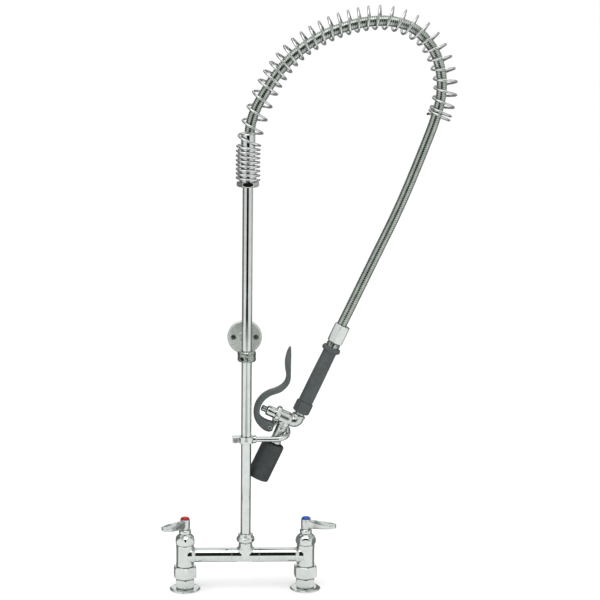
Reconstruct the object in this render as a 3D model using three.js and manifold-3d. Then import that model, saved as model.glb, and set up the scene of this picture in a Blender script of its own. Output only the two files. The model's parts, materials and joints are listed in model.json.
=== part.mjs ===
// Deck-mounted pre-rinse faucet with two lever valves, a wall-braced riser, an overhead
// spring arch and a hanging spray valve. Millimetres, +Z up. The origin is on the deck,
// midway between the two inlets; +X points under the spring arch and +Y to the wall.

import * as THREE from "three";
import { mergeVertices } from "three/addons/utils/BufferGeometryUtils.js";
import Module from "manifold-3d";

const wasm = await Module();
wasm.setup();

// ---- driving dimensions ----

const GAP = 0.3; // clearance kept between neighbouring pieces
const FINE = 16; // facets round a visible turned piece
const COARSE = 10; // facets round a small or hidden piece

// base, valves and handles
const INLET_SPACING = 203.2; // 8 in centres
const FLANGE_R = 25.7;
const FLANGE_H = 3;
const LOCK_NUT = { flats: 30, top: 19 };
const COUPLING_NUT = { flats: 36, bottom: 21, top: 41 };
const NIPPLE_R = 10.4; // 1/2 in pipe thread
const NIPPLE_BORE = 7.5;
const COLUMN_R = 15;
const COLUMN_TOP = 78.5;
const CROSSBAR_Z = 60;
const CROSSBAR_R = 12;
const CROSSBAR_BORE = 8.5;
const BODY_HALF = 17.5; // valve body centre to the face that meets the crossbar
const TEE_HALF = 23;
const TEE_NECK_R = 11.5;
const BONNET = { flats: 31.5, top: 97.5 };
const PACKING_NUT = { r: 10.3, top: 105 };
const HUB = { r: 8.2, top: 122.6 };
const BUTTON_R = 7.7;
const STEM_R = 4.2;
const LEVER_REACH = 57;
const LEVER_HALF_WIDTH = 10.5;
const LEVER_RISE = 8; // degrees that the blade's underside rises to the tip
const HANDLE_ANGLES = { hot: 232.5, cold: -33.5 }; // plan angle of each lever when closed

// riser, swivel nut, wall bracket and finger hook
const RISER_R = 8.55; // 3/8 in pipe
const RISER_BORE = 6.3;
const RISER_BOTTOM = 87;
const RISER_TOP = 700;
const TEE_NECK_TOP = 82.4;
const SWIVEL_NUT_TOP = 97.5;
const SWIVEL_SCREW = { z: 88, angle: -38 }; // angle about the riser, from +X
const BRACKET_Z = 403;
const BRACKET_RING = { r: 15.5, height: 17.6 };
const BRACKET_SCREW_ANGLE = -32; // from the front, about the riser
const WALL_Y = 152.4; // 6 in to the wall
const WALL_FLANGE = { r: 30, thickness: 5 };
const WALL_SCREW_SPACING = 39;
const HOOK_Z = 261;
const HOOK_ROD_R = 4.3;

// spring arch
const SPRING_R = 18.2; // coil centre radius
const SPRING_WIRE_R = 1.95;
const TIGHT_TURNS = 8;
const OPEN_TURNS = 32;
const STEPS_PER_TURN = 6;
const SPRING_SEAT = { flats: 32.5, bottom: 684.6, top: 693.6 }; // the hexagon under the spring
const TIGHT_LENGTH = 59.3;

// spray valve: its own frame has +Z up the handle, tilted towards the arch
const VALVE_ORIGIN = [91, 20, 302.5];
const VALVE_TILT = 24.8; // degrees from vertical
const FERRULE_NUT_TURN = 46; // degrees about the handle
const FERRULE_NUT = { across: 25.2, bottom: 131.9, top: 163.8 };
const VALVE_BODY_R = 12;
const STEM_Z = -19.6; // valve stem axis in the valve's frame
const OUTLET_X = -17.5; // outlet and bumper axis in the valve's frame
const BUMPER = { r: 19, top: -66, bottom: -132, bore: 15.5, depth: 36 };
const PIVOT = [-36.5, -43.6]; // lever pivot, x and z in the valve's frame
const LEVER_HALF_DEPTH = 10;

// hose: the centre line of the free hose, from the upper sleeve to the handle
const HOSE_R = 8.5;
const HOSE_ROUTE = [
  [2, 0, 772.8], [5, 0.4, 790], [13.5, 1, 814], [25.5, 1.8, 835], [38.5, 2.6, 856],
  [52, 3.4, 874.5], [73, 4.8, 896.5], [95.5, 6.2, 914], [121, 7.8, 929], [148, 9.4, 940],
  [178, 11.2, 948.5], [205, 13, 952], [226, 14.4, 952], [243, 15.4, 949], [259.5, 16.4, 943.5],
  [272.5, 17.2, 936], [283.5, 17.9, 926], [293.5, 18.5, 914.5], [301, 19, 903.5],
  [306.5, 19.4, 891], [310.5, 19.7, 878], [313.3, 19.9, 863.5], [314.3, 20, 848],
  [313.3, 20, 831], [310, 20, 813], [301.5, 20, 784], [289.5, 20, 751], [274.5, 20, 711.5],
  [258, 20, 670], [240.8, 20, 630], [210.5, 20, 565], [170, 20, 478], [158, 20, 452.5],
];

// spring centre line, from the seat on the riser to the open end over the hose
const SPRING_ROUTE = [
  [0, 0, SPRING_SEAT.top], [0.6, 0, 749], [3.4, 0.2, 768], [18.5, 1.2, 816], [39, 2.4, 859.5],
  [70, 4.4, 899], [105, 6.6, 925.5], [146, 9.1, 945], [190.5, 11.9, 956], [222.5, 13.9, 957],
  [257, 16.1, 947.5], [287.5, 18, 927], [307.5, 19.2, 898], [318.5, 19.9, 865],
  [320.4, 20, 848], [319, 20, 830], [315.2, 20, 811.5], [309, 20, 794.5],
];

// ---- materials ----

const chrome = new THREE.MeshStandardMaterial({ color: 0xd6d8da, roughness: 0.12, metalness: 1 });
const castGrey = new THREE.MeshStandardMaterial({ color: 0xa9acad, roughness: 0.5, metalness: 0.9 });
const brass = new THREE.MeshStandardMaterial({ color: 0xb8965a, roughness: 0.35, metalness: 1 });
const steel = new THREE.MeshStandardMaterial({ color: 0xb9bdbf, roughness: 0.3, metalness: 1 });
const blackSteel = new THREE.MeshStandardMaterial({ color: 0x1d1d1f, roughness: 0.4, metalness: 0.7 });
const conduit = new THREE.MeshStandardMaterial({ color: 0xb4bbb6, roughness: 0.35, metalness: 1 });
const rubber = new THREE.MeshStandardMaterial({ color: 0x404545, roughness: 0.7, metalness: 0 });
const gripRubber = new THREE.MeshStandardMaterial({ color: 0x545a5b, roughness: 0.75, metalness: 0 });
const leverPaint = new THREE.MeshStandardMaterial({ color: 0x5a6362, roughness: 0.5, metalness: 0 });
const hotRed = new THREE.MeshStandardMaterial({ color: 0xaa1414, roughness: 0.3, metalness: 0 });
const coldBlue = new THREE.MeshStandardMaterial({ color: 0x2346aa, roughness: 0.3, metalness: 0 });

// ---- geometry helpers ----

const radians = THREE.MathUtils.degToRad;

function signedVolume(geometry) {
  const p = geometry.getAttribute("position");
  const index = geometry.getIndex();
  const [a, b, c] = [new THREE.Vector3(), new THREE.Vector3(), new THREE.Vector3()];
  let sum = 0;
  for (let i = 0; i < index.count; i += 3) {
    a.fromBufferAttribute(p, index.getX(i));
    b.fromBufferAttribute(p, index.getX(i + 1));
    c.fromBufferAttribute(p, index.getX(i + 2));
    sum += a.dot(b.cross(c)) / 6;
  }
  return sum;
}

// One closed mesh with shared vertices, its faces pointing out.
function closed(geometry) {
  geometry.deleteAttribute("normal");
  geometry.deleteAttribute("uv");
  const merged = mergeVertices(geometry, 1e-4);
  const index = merged.getIndex();
  const kept = [];
  for (let i = 0; i < index.count; i += 3) {
    const [a, b, c] = [index.getX(i), index.getX(i + 1), index.getX(i + 2)];
    if (a !== b && b !== c && c !== a) kept.push(a, b, c);
  }
  merged.setIndex(kept);
  if (signedVolume(merged) < 0) {
    for (let i = 0; i < kept.length; i += 3) {
      [kept[i + 1], kept[i + 2]] = [kept[i + 2], kept[i + 1]];
    }
    merged.setIndex(kept);
  }
  return merged;
}

function toSolid(geometry) {
  return new wasm.Manifold(new wasm.Mesh({
    numProp: 3,
    vertProperties: new Float32Array(geometry.getAttribute("position").array),
    triVerts: new Uint32Array(geometry.getIndex().array),
  }));
}

function fromSolid(solid) {
  const mesh = solid.getMesh();
  const geometry = new THREE.BufferGeometry();
  geometry.setAttribute("position", new THREE.BufferAttribute(mesh.vertProperties, 3));
  geometry.setIndex(new THREE.BufferAttribute(mesh.triVerts, 1));
  return closed(geometry);
}

function join(...parts) {
  return fromSolid(parts.map(toSolid).reduce((all, next) => all.add(next)));
}

function cut(part, ...tools) {
  return fromSolid(tools.map(toSolid).reduce((left, tool) => left.subtract(tool), toSolid(part)));
}

function common(a, b) {
  return fromSolid(toSolid(a).intersect(toSolid(b)));
}

// A turned piece about Z from a profile of [radius, height] points.
function turned(profile, facets = FINE) {
  const points = profile.map(([r, z]) => new THREE.Vector2(r, z));
  return closed(new THREE.LatheGeometry(points, facets).rotateX(Math.PI / 2));
}

function cylinder(r, bottom, top, facets = FINE) {
  return turned([[0, bottom], [r, bottom], [r, top], [0, top]], facets);
}

function ring(outer, inner, bottom, top, facets = FINE) {
  return turned([[inner, bottom], [outer, bottom], [outer, top], [inner, top], [inner, bottom]], facets);
}

// A hexagonal nut about Z with both ends chamfered, and a bore.
function hexNut(flats, bottom, top, bore) {
  const corner = flats / Math.sqrt(3);
  const outline = new THREE.Shape();
  for (let i = 0; i < 6; i += 1) {
    const angle = radians(60 * i + 30);
    outline.lineTo(corner * Math.cos(angle), corner * Math.sin(angle));
  }
  const prism = closed(
    new THREE.ExtrudeGeometry(outline, { depth: top - bottom, bevelEnabled: false })
      .translate(0, 0, bottom),
  );
  const chamfer = (corner - flats / 2) * 0.6;
  const rounded = turned([
    [bore, bottom], [flats / 2, bottom], [corner + 0.1, bottom + chamfer],
    [corner + 0.1, top - chamfer], [flats / 2, top], [bore, top], [bore, bottom],
  ]);
  return common(prism, rounded);
}

class SmoothRoute extends THREE.Curve {
  constructor(points) {
    super();
    this.spline = new THREE.CatmullRomCurve3(points.map((p) => new THREE.Vector3(...p)));
    this.spline.arcLengthDivisions = 2000;
    this.arcLengthDivisions = 2000;
  }

  getPoint(t, target = new THREE.Vector3()) {
    return this.spline.getPointAt(t, target);
  }
}

// A round bar of one radius along a smooth route of points.
function bar(points, radius, steps, sides = 12) {
  const outline = new THREE.Shape();
  for (let i = 0; i < sides; i += 1) {
    const angle = (2 * Math.PI * i) / sides;
    outline.lineTo(radius * Math.cos(angle), radius * Math.sin(angle));
  }
  const route = new SmoothRoute(points);
  return closed(
    new THREE.ExtrudeGeometry(outline, { steps, extrudePath: route, curveSegments: 1 }),
  );
}

// A plate cut from an outline in the XZ plane, centred on Y.
function plateXZ(outline, depth) {
  const geometry = new THREE.ExtrudeGeometry(outline, { depth, bevelEnabled: false, curveSegments: 8 });
  return closed(geometry.translate(0, 0, -depth / 2).rotateX(Math.PI / 2));
}

function moved(geometry, x, y, z) {
  return geometry.clone().translate(x, y, z);
}

// ---- scene graph helpers ----

const model = new THREE.Group();

function place(group, name, geometry, material) {
  const mesh = new THREE.Mesh(geometry, material);
  mesh.name = name;
  group.add(mesh);
}

function frameAt(parent, x, y, z) {
  const group = new THREE.Group();
  group.position.set(x, y, z);
  parent.add(group);
  return group;
}

// ---- base: one inlet leg with its valve and lever handle ----

// Lever blade: a teardrop paddle with a scooped top, on a hub that fits the stem.
function leverHandle(bottom) {
  const bladeTop = HUB.top - 0.8;
  const depth = 13;
  const blade = new THREE.Shape();
  blade.moveTo(4, -5.5);
  blade.bezierCurveTo(18, -5, 24, -LEVER_HALF_WIDTH, 38, -LEVER_HALF_WIDTH);
  blade.absarc(LEVER_REACH - LEVER_HALF_WIDTH, 0, LEVER_HALF_WIDTH, -Math.PI / 2, Math.PI / 2);
  blade.bezierCurveTo(24, LEVER_HALF_WIDTH, 18, 5, 4, 5.5);
  const slab = closed(
    new THREE.ExtrudeGeometry(blade, { depth, bevelEnabled: false, curveSegments: 7 })
      .translate(0, 0, bladeTop - depth),
  );
  const underside = closed(
    new THREE.BoxGeometry(90, 40, 20).translate(35, 0, -10)
      .rotateY(radians(-LEVER_RISE)).translate(8, 0, bladeTop - depth + 0.4),
  );
  const scoop = closed(
    new THREE.SphereGeometry(1, 12, 6).scale(19, LEVER_HALF_WIDTH - 2.2, 4.6)
      .translate(LEVER_REACH - 21.5, 0, bladeTop + 0.4),
  );
  const hub = turned([
    [0, bottom], [HUB.r, bottom], [HUB.r + 0.3, HUB.top - 8], [HUB.r, HUB.top - 0.6],
    [HUB.r - 0.6, HUB.top], [0, HUB.top],
  ]);
  const socket = cylinder(STEM_R + GAP, bottom - 1, HUB.top - 5, COARSE);
  const screwHole = cylinder(2.4, HUB.top - 7, HUB.top - 3.2, COARSE);
  const buttonRecess = cylinder(6.6, HUB.top - 3.5, HUB.top + 1, COARSE);
  return cut(join(cut(slab, scoop, underside), hub), socket, screwHole, buttonRecess);
}

function inletLeg(side, sign) {
  const leg = frameAt(model, (sign * INLET_SPACING) / 2, 0, 0);

  place(leg, `${side}_deck_flange`, turned([
    [NIPPLE_R + GAP, 0], [FLANGE_R, 0], [FLANGE_R, 1.4], [FLANGE_R - 3, FLANGE_H],
    [NIPPLE_R + GAP, FLANGE_H], [NIPPLE_R + GAP, 0],
  ]), chrome);

  place(leg, `${side}_lock_nut`,
    hexNut(LOCK_NUT.flats, FLANGE_H + GAP, LOCK_NUT.top, NIPPLE_R + GAP), chrome);

  place(leg, `${side}_inlet_nipple`, turned([
    [NIPPLE_BORE, 0], [NIPPLE_R, 0], [NIPPLE_R, LOCK_NUT.top + 6], [NIPPLE_BORE, LOCK_NUT.top + 6],
    [NIPPLE_BORE, 0],
  ], FINE), brass);

  // the nut hangs on the tailpiece shoulder of the valve body
  const nutBore = turned([
    [0, COUPLING_NUT.bottom - 1], [NIPPLE_R + GAP, COUPLING_NUT.bottom - 1],
    [NIPPLE_R + GAP, COUPLING_NUT.bottom + 4], [13.3, COUPLING_NUT.bottom + 4],
    [13.3, COUPLING_NUT.top - 6], [11.5, COUPLING_NUT.top - 4], [11.5, COUPLING_NUT.top + 1],
    [0, COUPLING_NUT.top + 1],
  ], FINE);
  place(leg, `${side}_coupling_nut`,
    cut(hexNut(COUPLING_NUT.flats, COUPLING_NUT.bottom, COUPLING_NUT.top, 4), nutBore), chrome);

  // valve body: column, tailpiece, side outlet to the crossbar and a seat inside
  const seatZ = CROSSBAR_Z - 9;
  const column = turned([
    [0, 28], [12.8, 28], [12.8, COUPLING_NUT.top - 6.6], [11.2, COUPLING_NUT.top - 4.4],
    [11.2, COUPLING_NUT.top + GAP], [COLUMN_R, COUPLING_NUT.top + GAP], [COLUMN_R, COLUMN_TOP],
    [0, COLUMN_TOP],
  ]);
  const outlet = closed(cylinder(CROSSBAR_R + 0.6, 0, BODY_HALF, 28)
    .rotateY(-sign * Math.PI / 2).translate(0, 0, CROSSBAR_Z));
  const outletBore = closed(cylinder(CROSSBAR_BORE, 0, BODY_HALF + 1, COARSE)
    .rotateY(-sign * Math.PI / 2).translate(0, 0, CROSSBAR_Z));
  const throat = cylinder(6, 27, seatZ + 1, COARSE);
  const chamber = cylinder(10.6, seatZ, COLUMN_TOP + 1, 24);
  place(leg, `${side}_valve_body`, cut(join(column, outlet), throat, chamber, outletBore), chrome);

  place(leg, `${side}_seat_washer`, ring(7.2, 2.2, seatZ + GAP, seatZ + 3.3, COARSE), rubber);

  // bonnet: domed hexagon screwed into the body, bored for the stem and its packing
  const dome = turned([
    [0, COLUMN_TOP + GAP], [15.2, COLUMN_TOP + GAP], [18.3, COLUMN_TOP + 2.2], [18.3, COLUMN_TOP + 10],
    [16.2, COLUMN_TOP + 14], [12.5, COLUMN_TOP + 17], [9.9, BONNET.top], [0, BONNET.top],
  ]);
  const hexHead = common(hexNut(BONNET.flats, COLUMN_TOP + GAP, COLUMN_TOP + 40, 1), dome);
  const spigot = cylinder(10.2, COLUMN_TOP - 9, COLUMN_TOP + 3, 24);
  place(leg, `${side}_bonnet`, cut(
    join(hexHead, spigot),
    cylinder(5.4, COLUMN_TOP - 10, BONNET.top - 6, COARSE),
    cylinder(STEM_R + GAP, BONNET.top - 8, BONNET.top + 1, COARSE),
    cylinder(7.2, BONNET.top - 4.5, BONNET.top + 1, COARSE),
  ), chrome);

  place(leg, `${side}_stem_packing`,
    ring(6.9, STEM_R + GAP, BONNET.top - 4.2, BONNET.top - GAP, COARSE), rubber);

  place(leg, `${side}_packing_nut`, turned([
    [STEM_R + GAP, BONNET.top + GAP], [PACKING_NUT.r, BONNET.top + GAP],
    [PACKING_NUT.r, PACKING_NUT.top - 1.2], [PACKING_NUT.r - 1.2, PACKING_NUT.top],
    [STEM_R + GAP, PACKING_NUT.top], [STEM_R + GAP, BONNET.top + GAP],
  ], FINE), chrome);

  // stem: disc holder over the seat, shaft through the packing, spline end in the handle
  place(leg, `${side}_valve_stem`, turned([
    [0, seatZ + 0.8], [1.9, seatZ + 0.8], [1.9, seatZ + 3.6], [7.4, seatZ + 3.6], [7.4, seatZ + 6.6],
    [5.1, seatZ + 8], [5.1, BONNET.top - 8.4], [STEM_R, BONNET.top - 7.6], [STEM_R, HUB.top - 7.4],
    [0, HUB.top - 7.4],
  ], COARSE), brass);

  const handle = frameAt(leg, 0, 0, 0);
  handle.rotation.z = radians(HANDLE_ANGLES[side]);
  place(handle, `${side}_lever_handle`, leverHandle(PACKING_NUT.top + GAP + 0.2), chrome);
  place(handle, `${side}_handle_screw`, turned([
    [0, HUB.top - 6.9], [2.1, HUB.top - 6.9], [2.1, HUB.top - 3.2], [3.8, HUB.top - 3.2],
    [3.8, HUB.top - 1.8], [0, HUB.top - 1.2],
  ], COARSE), steel);
  place(handle, `${side}_index_button`, turned([
    [0, HUB.top - 1], [6.2, HUB.top - 1], [6.2, HUB.top + GAP], [BUTTON_R, HUB.top + GAP],
    [BUTTON_R, HUB.top + 1.3], [6, HUB.top + 2.9], [3.2, HUB.top + 3.8], [0, HUB.top + 4.1],
  ]), side === "hot" ? hotRed : coldBlue);
}

// ---- base: crossbar, outlet tee and swivel nut ----

function crossbarAndTee() {
  const span = INLET_SPACING / 2 - BODY_HALF - TEE_HALF - 2 * GAP;
  for (const [name, sign] of [["hot_crossbar_tube", -1], ["cold_crossbar_tube", 1]]) {
    const tube = ring(CROSSBAR_R, CROSSBAR_BORE, 0, span).rotateY((sign * Math.PI) / 2);
    place(model, name, moved(tube, sign * (TEE_HALF + GAP), 0, CROSSBAR_Z), chrome);
  }
  const run = closed(cylinder(CROSSBAR_R + 0.4, -TEE_HALF, TEE_HALF, 28)
    .rotateY(Math.PI / 2).translate(0, 0, CROSSBAR_Z));
  const neck = turned([
    [0, CROSSBAR_Z], [TEE_NECK_R, CROSSBAR_Z], [TEE_NECK_R, TEE_NECK_TOP], [0, TEE_NECK_TOP],
  ], 24);
  // the neck spreads into the run, no deeper than the run itself
  const flare = turned([
    [0, CROSSBAR_Z], [17.5, CROSSBAR_Z], [17.5, CROSSBAR_Z + 9.5], [14.2, CROSSBAR_Z + 11.8],
    [12.2, CROSSBAR_Z + 14.6], [TEE_NECK_R, CROSSBAR_Z + 18], [0, CROSSBAR_Z + 18],
  ], 24);
  const slab = closed(new THREE.BoxGeometry(60, 2 * TEE_NECK_R, 60).translate(0, 0, CROSSBAR_Z));
  const bore = closed(cylinder(CROSSBAR_BORE, -TEE_HALF - 1, TEE_HALF + 1, COARSE)
    .rotateY(Math.PI / 2).translate(0, 0, CROSSBAR_Z));
  const upBore = cylinder(CROSSBAR_BORE, CROSSBAR_Z, TEE_NECK_TOP + 1, COARSE);
  place(model, "outlet_tee", cut(join(run, neck, common(flare, slab)), bore, upBore), chrome);

  place(model, "riser_seal_ring",
    ring(11.2, RISER_R - 1.4, TEE_NECK_TOP + GAP, RISER_BOTTOM - GAP, COARSE), rubber);

  const top = SWIVEL_NUT_TOP;
  const nut = turned([
    [RISER_R + GAP, top], [12.3, top], [12.6, top - 5.6], [15.2, top - 7], [15.2, top - 12],
    [12.6, TEE_NECK_TOP + GAP], [11.6, TEE_NECK_TOP + GAP], [11.6, RISER_BOTTOM + 1],
    [RISER_R + GAP, RISER_BOTTOM + 2], [RISER_R + GAP, top],
  ]);
  const radial = (r, from, to) => closed(cylinder(r, from, to, COARSE)
    .rotateY(Math.PI / 2).rotateZ(radians(SWIVEL_SCREW.angle)).translate(0, 0, SWIVEL_SCREW.z));
  place(model, "swivel_nut", cut(nut, radial(2.5, 9, 20)), chrome);
  place(model, "swivel_set_screw", radial(2.2, 12, 16), blackSteel);
}

// ---- wall bracket ----

function wallBracket() {
  const { r, height } = BRACKET_RING;
  const bracket = frameAt(model, 0, 0, BRACKET_Z);
  const rodR = 7;
  const sleeve = turned([
    [RISER_R + 0.5, -height / 2], [r - 1.5, -height / 2], [r, -height / 2 + 1.5], [r, height / 2 - 1.5],
    [r - 1.5, height / 2], [RISER_R + 0.5, height / 2], [RISER_R + 0.5, -height / 2],
  ]);
  const socket = closed(cylinder(rodR + GAP, 12, 30).rotateX(-Math.PI / 2));
  const aim = radians(BRACKET_SCREW_ANGLE);
  const screwHole = closed(cylinder(2.8, 8, 20, COARSE)
    .rotateX(Math.PI / 2).translate(0, 0, -2.5).rotateZ(aim));
  place(bracket, "bracket_ring", cut(sleeve, socket, screwHole), castGrey);
  const screw = closed(cylinder(2.5, 9.2, 13.4, COARSE)
    .rotateX(Math.PI / 2).translate(0, 0, -2.5).rotateZ(aim));
  place(bracket, "bracket_set_screw", screw, blackSteel);

  const flangeFront = WALL_Y - WALL_FLANGE.thickness;
  const rod = closed(cylinder(rodR, 12.4, flangeFront - 8 - GAP).rotateX(-Math.PI / 2));
  place(bracket, "bracket_rod", rod, castGrey);

  const disc = closed(turned([
    [0, 0], [9.5, 0], [9.5, 8], [WALL_FLANGE.r - 2.5, 9], [WALL_FLANGE.r, 11],
    [WALL_FLANGE.r, 13], [0, 13],
  ]).rotateX(-Math.PI / 2).translate(0, flangeFront - 8, 0));
  const holes = [];
  const screws = [];
  for (const sign of [-1, 1]) {
    const x = (sign * WALL_SCREW_SPACING) / 2;
    const sink = [[0, -2], [4.7, -2], [4.7, 1.2], [2.8, 3.4], [2.8, 7], [0, 7]];
    const head = [[0, 1], [4.2, 1], [2.3, 3.2], [2.3, 5], [0, 5]];
    holes.push(closed(turned(sink, COARSE).rotateX(-Math.PI / 2).translate(x, flangeFront, 0)));
    screws.push(closed(turned(head, COARSE).rotateX(-Math.PI / 2).translate(x, flangeFront, 0)));
  }
  place(bracket, "wall_flange", cut(disc, ...holes), castGrey);
  place(bracket, "hot_side_wall_screw", screws[0], blackSteel);
  place(bracket, "cold_side_wall_screw", screws[1], blackSteel);
}

// ---- riser, hook and spring ----

function riserAndHook() {
  place(model, "riser_pipe", ring(RISER_R, RISER_BORE, RISER_BOTTOM, RISER_TOP), chrome);

  const hook = frameAt(model, 0, 0, HOOK_Z);
  const clampR = 13;
  const half = 5.5;
  const lugs = closed(new THREE.BoxGeometry(24, 12, 2 * half).translate(-11, 0, 0));
  const boss = closed(cylinder(6.6, 6, 17, COARSE).rotateY(Math.PI / 2));
  const slit = closed(new THREE.BoxGeometry(20, 1.6, 2 * half + 1).translate(-18, 0, 0));
  const bore = cylinder(RISER_R + GAP, -half - 1, half + 1);
  const screwHole = closed(cylinder(2.5, -10, 10, COARSE).rotateX(Math.PI / 2).translate(-17.5, 0, 0));
  const rodHole = closed(cylinder(HOOK_ROD_R + GAP, 11, 18, COARSE).rotateY(Math.PI / 2));
  place(hook, "hook_clamp",
    cut(join(cylinder(clampR, -half, half), lugs, boss), slit, bore, screwHole, rodHole), chrome);
  const screw = closed(turned([
    [0, -8.2], [2.2, -8.2], [2.2, 6.3], [4.3, 6.3], [4.3, 8.8], [3.3, 9.6], [0, 9.6],
  ], COARSE).rotateX(Math.PI / 2).translate(-17.5, 0, 0));
  place(hook, "hook_clamp_screw", screw, steel);
  const rod = bar([
    [11.4, 0, 0], [20, 0, 0], [34, 0, 0], [46, 0, 0], [55.5, 1, 0.3], [63, 4.5, 1.4], [68, 11, 2.8],
    [70.4, 20, 4.6], [70.9, 31, 7], [70.6, 42, 9.5],
  ], HOOK_ROD_R, 14, 8);
  place(hook, "finger_hook", rod, chrome);
}

class LeftHandHelix extends THREE.Curve {
  constructor(route, turnsAt, turns) {
    super();
    this.route = route;
    this.turnsAt = turnsAt;
    this.turns = turns;
    this.side = new THREE.Vector3();
    this.out = new THREE.Vector3();
  }

  getPoint(t, target = new THREE.Vector3()) {
    const turn = t * this.turns;
    const along = this.turnsAt(turn);
    const tangent = this.route.getTangentAt(along);
    this.side.set(0, 1, 0).addScaledVector(tangent, -tangent.y).normalize();
    this.out.crossVectors(this.side, tangent).normalize();
    const angle = -2 * Math.PI * turn;
    return this.route.getPointAt(along, target)
      .addScaledVector(this.out, SPRING_R * Math.cos(angle))
      .addScaledVector(this.side, SPRING_R * Math.sin(angle));
  }
}

function springArch() {
  const route = new SmoothRoute(SPRING_ROUTE);
  const length = route.getLength();
  const tightEnd = TIGHT_LENGTH / length;
  const wireStart = (SPRING_WIRE_R + GAP) / length;
  const turns = TIGHT_TURNS + OPEN_TURNS;
  const turnsAt = (turn) => {
    if (turn < TIGHT_TURNS) return wireStart + (turn / TIGHT_TURNS) * (tightEnd - wireStart);
    const open = (turn - TIGHT_TURNS) / OPEN_TURNS;
    return tightEnd + (0.997 - tightEnd) * (1.16 * open - 0.16 * open * open);
  };
  const helix = new LeftHandHelix(route, turnsAt, turns);
  helix.arcLengthDivisions = 4000;
  const outline = new THREE.Shape();
  for (let i = 0; i < 4; i += 1) {
    const angle = (Math.PI * i) / 2;
    outline.lineTo(SPRING_WIRE_R * Math.cos(angle), SPRING_WIRE_R * Math.sin(angle));
  }
  const steps = turns * STEPS_PER_TURN;
  place(model, "arch_spring", closed(
    new THREE.ExtrudeGeometry(outline, { steps, extrudePath: helix, curveSegments: 1 }),
  ), steel);

  // the spring stands on this adapter's hexagon; the hose fitting screws into its top
  const { flats, bottom, top } = SPRING_SEAT;
  const plug = cylinder(14, top - 1, 712, FINE);
  const hexagon = closed(hexNut(flats, bottom, top, 1).rotateZ(radians(30)));
  const riserBore = cylinder(RISER_R + GAP, bottom - 1, RISER_TOP + GAP);
  const waterway = cylinder(RISER_BORE, bottom, 713);
  place(model, "spring_adapter", cut(join(hexagon, plug), riserBore, waterway), chrome);

  place(model, "hose_sleeve", turned([
    [RISER_BORE, 712 + GAP], [11.6, 712 + GAP], [11.6, 769], [10.6, 770.8], [RISER_BORE, 770.8],
    [RISER_BORE, 712 + GAP],
  ]), chrome);

  place(model, "hose_conduit", bar(HOSE_ROUTE, HOSE_R, 48, 8), conduit);
}

// ---- spray valve ----

function sprayHandle(valve) {
  place(valve, "handle_tube", turned([
    [6, -4], [8.4, -4], [8.4, 119], [11, 119], [11, 130.5], [8, 131.4], [6, 131.4], [6, -4],
  ], FINE), chrome);
  const { across, bottom, top } = FERRULE_NUT;
  const nut = hexNut(across, bottom, top, 1);
  nut.rotateZ(radians(FERRULE_NUT_TURN));
  place(valve, "hose_ferrule_nut", cut(nut, cylinder(6.5, bottom - 2, top + 2, COARSE)), chrome);
  place(valve, "grip_sleeve", turned([
    [8.8, 19.9], [12.3, 19.9], [12.3, 60], [11.8, 100], [12, 112], [14.2, 113], [16, 116], [16, 121],
    [14.4, 123.4], [11.3, 123.4], [11.3, 118.6], [8.8, 118.6], [8.8, 19.9],
  ]), gripRubber);
  const collar = closed(hexNut(26, 0, 19.6, 1).rotateZ(radians(30)));
  place(valve, "grip_collar", cut(collar, cylinder(8.8, -1, 21)), gripRubber);
}

function axisX(geometry, x, z) {
  return closed(geometry.rotateY(-Math.PI / 2).translate(x, 0, z));
}

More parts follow.
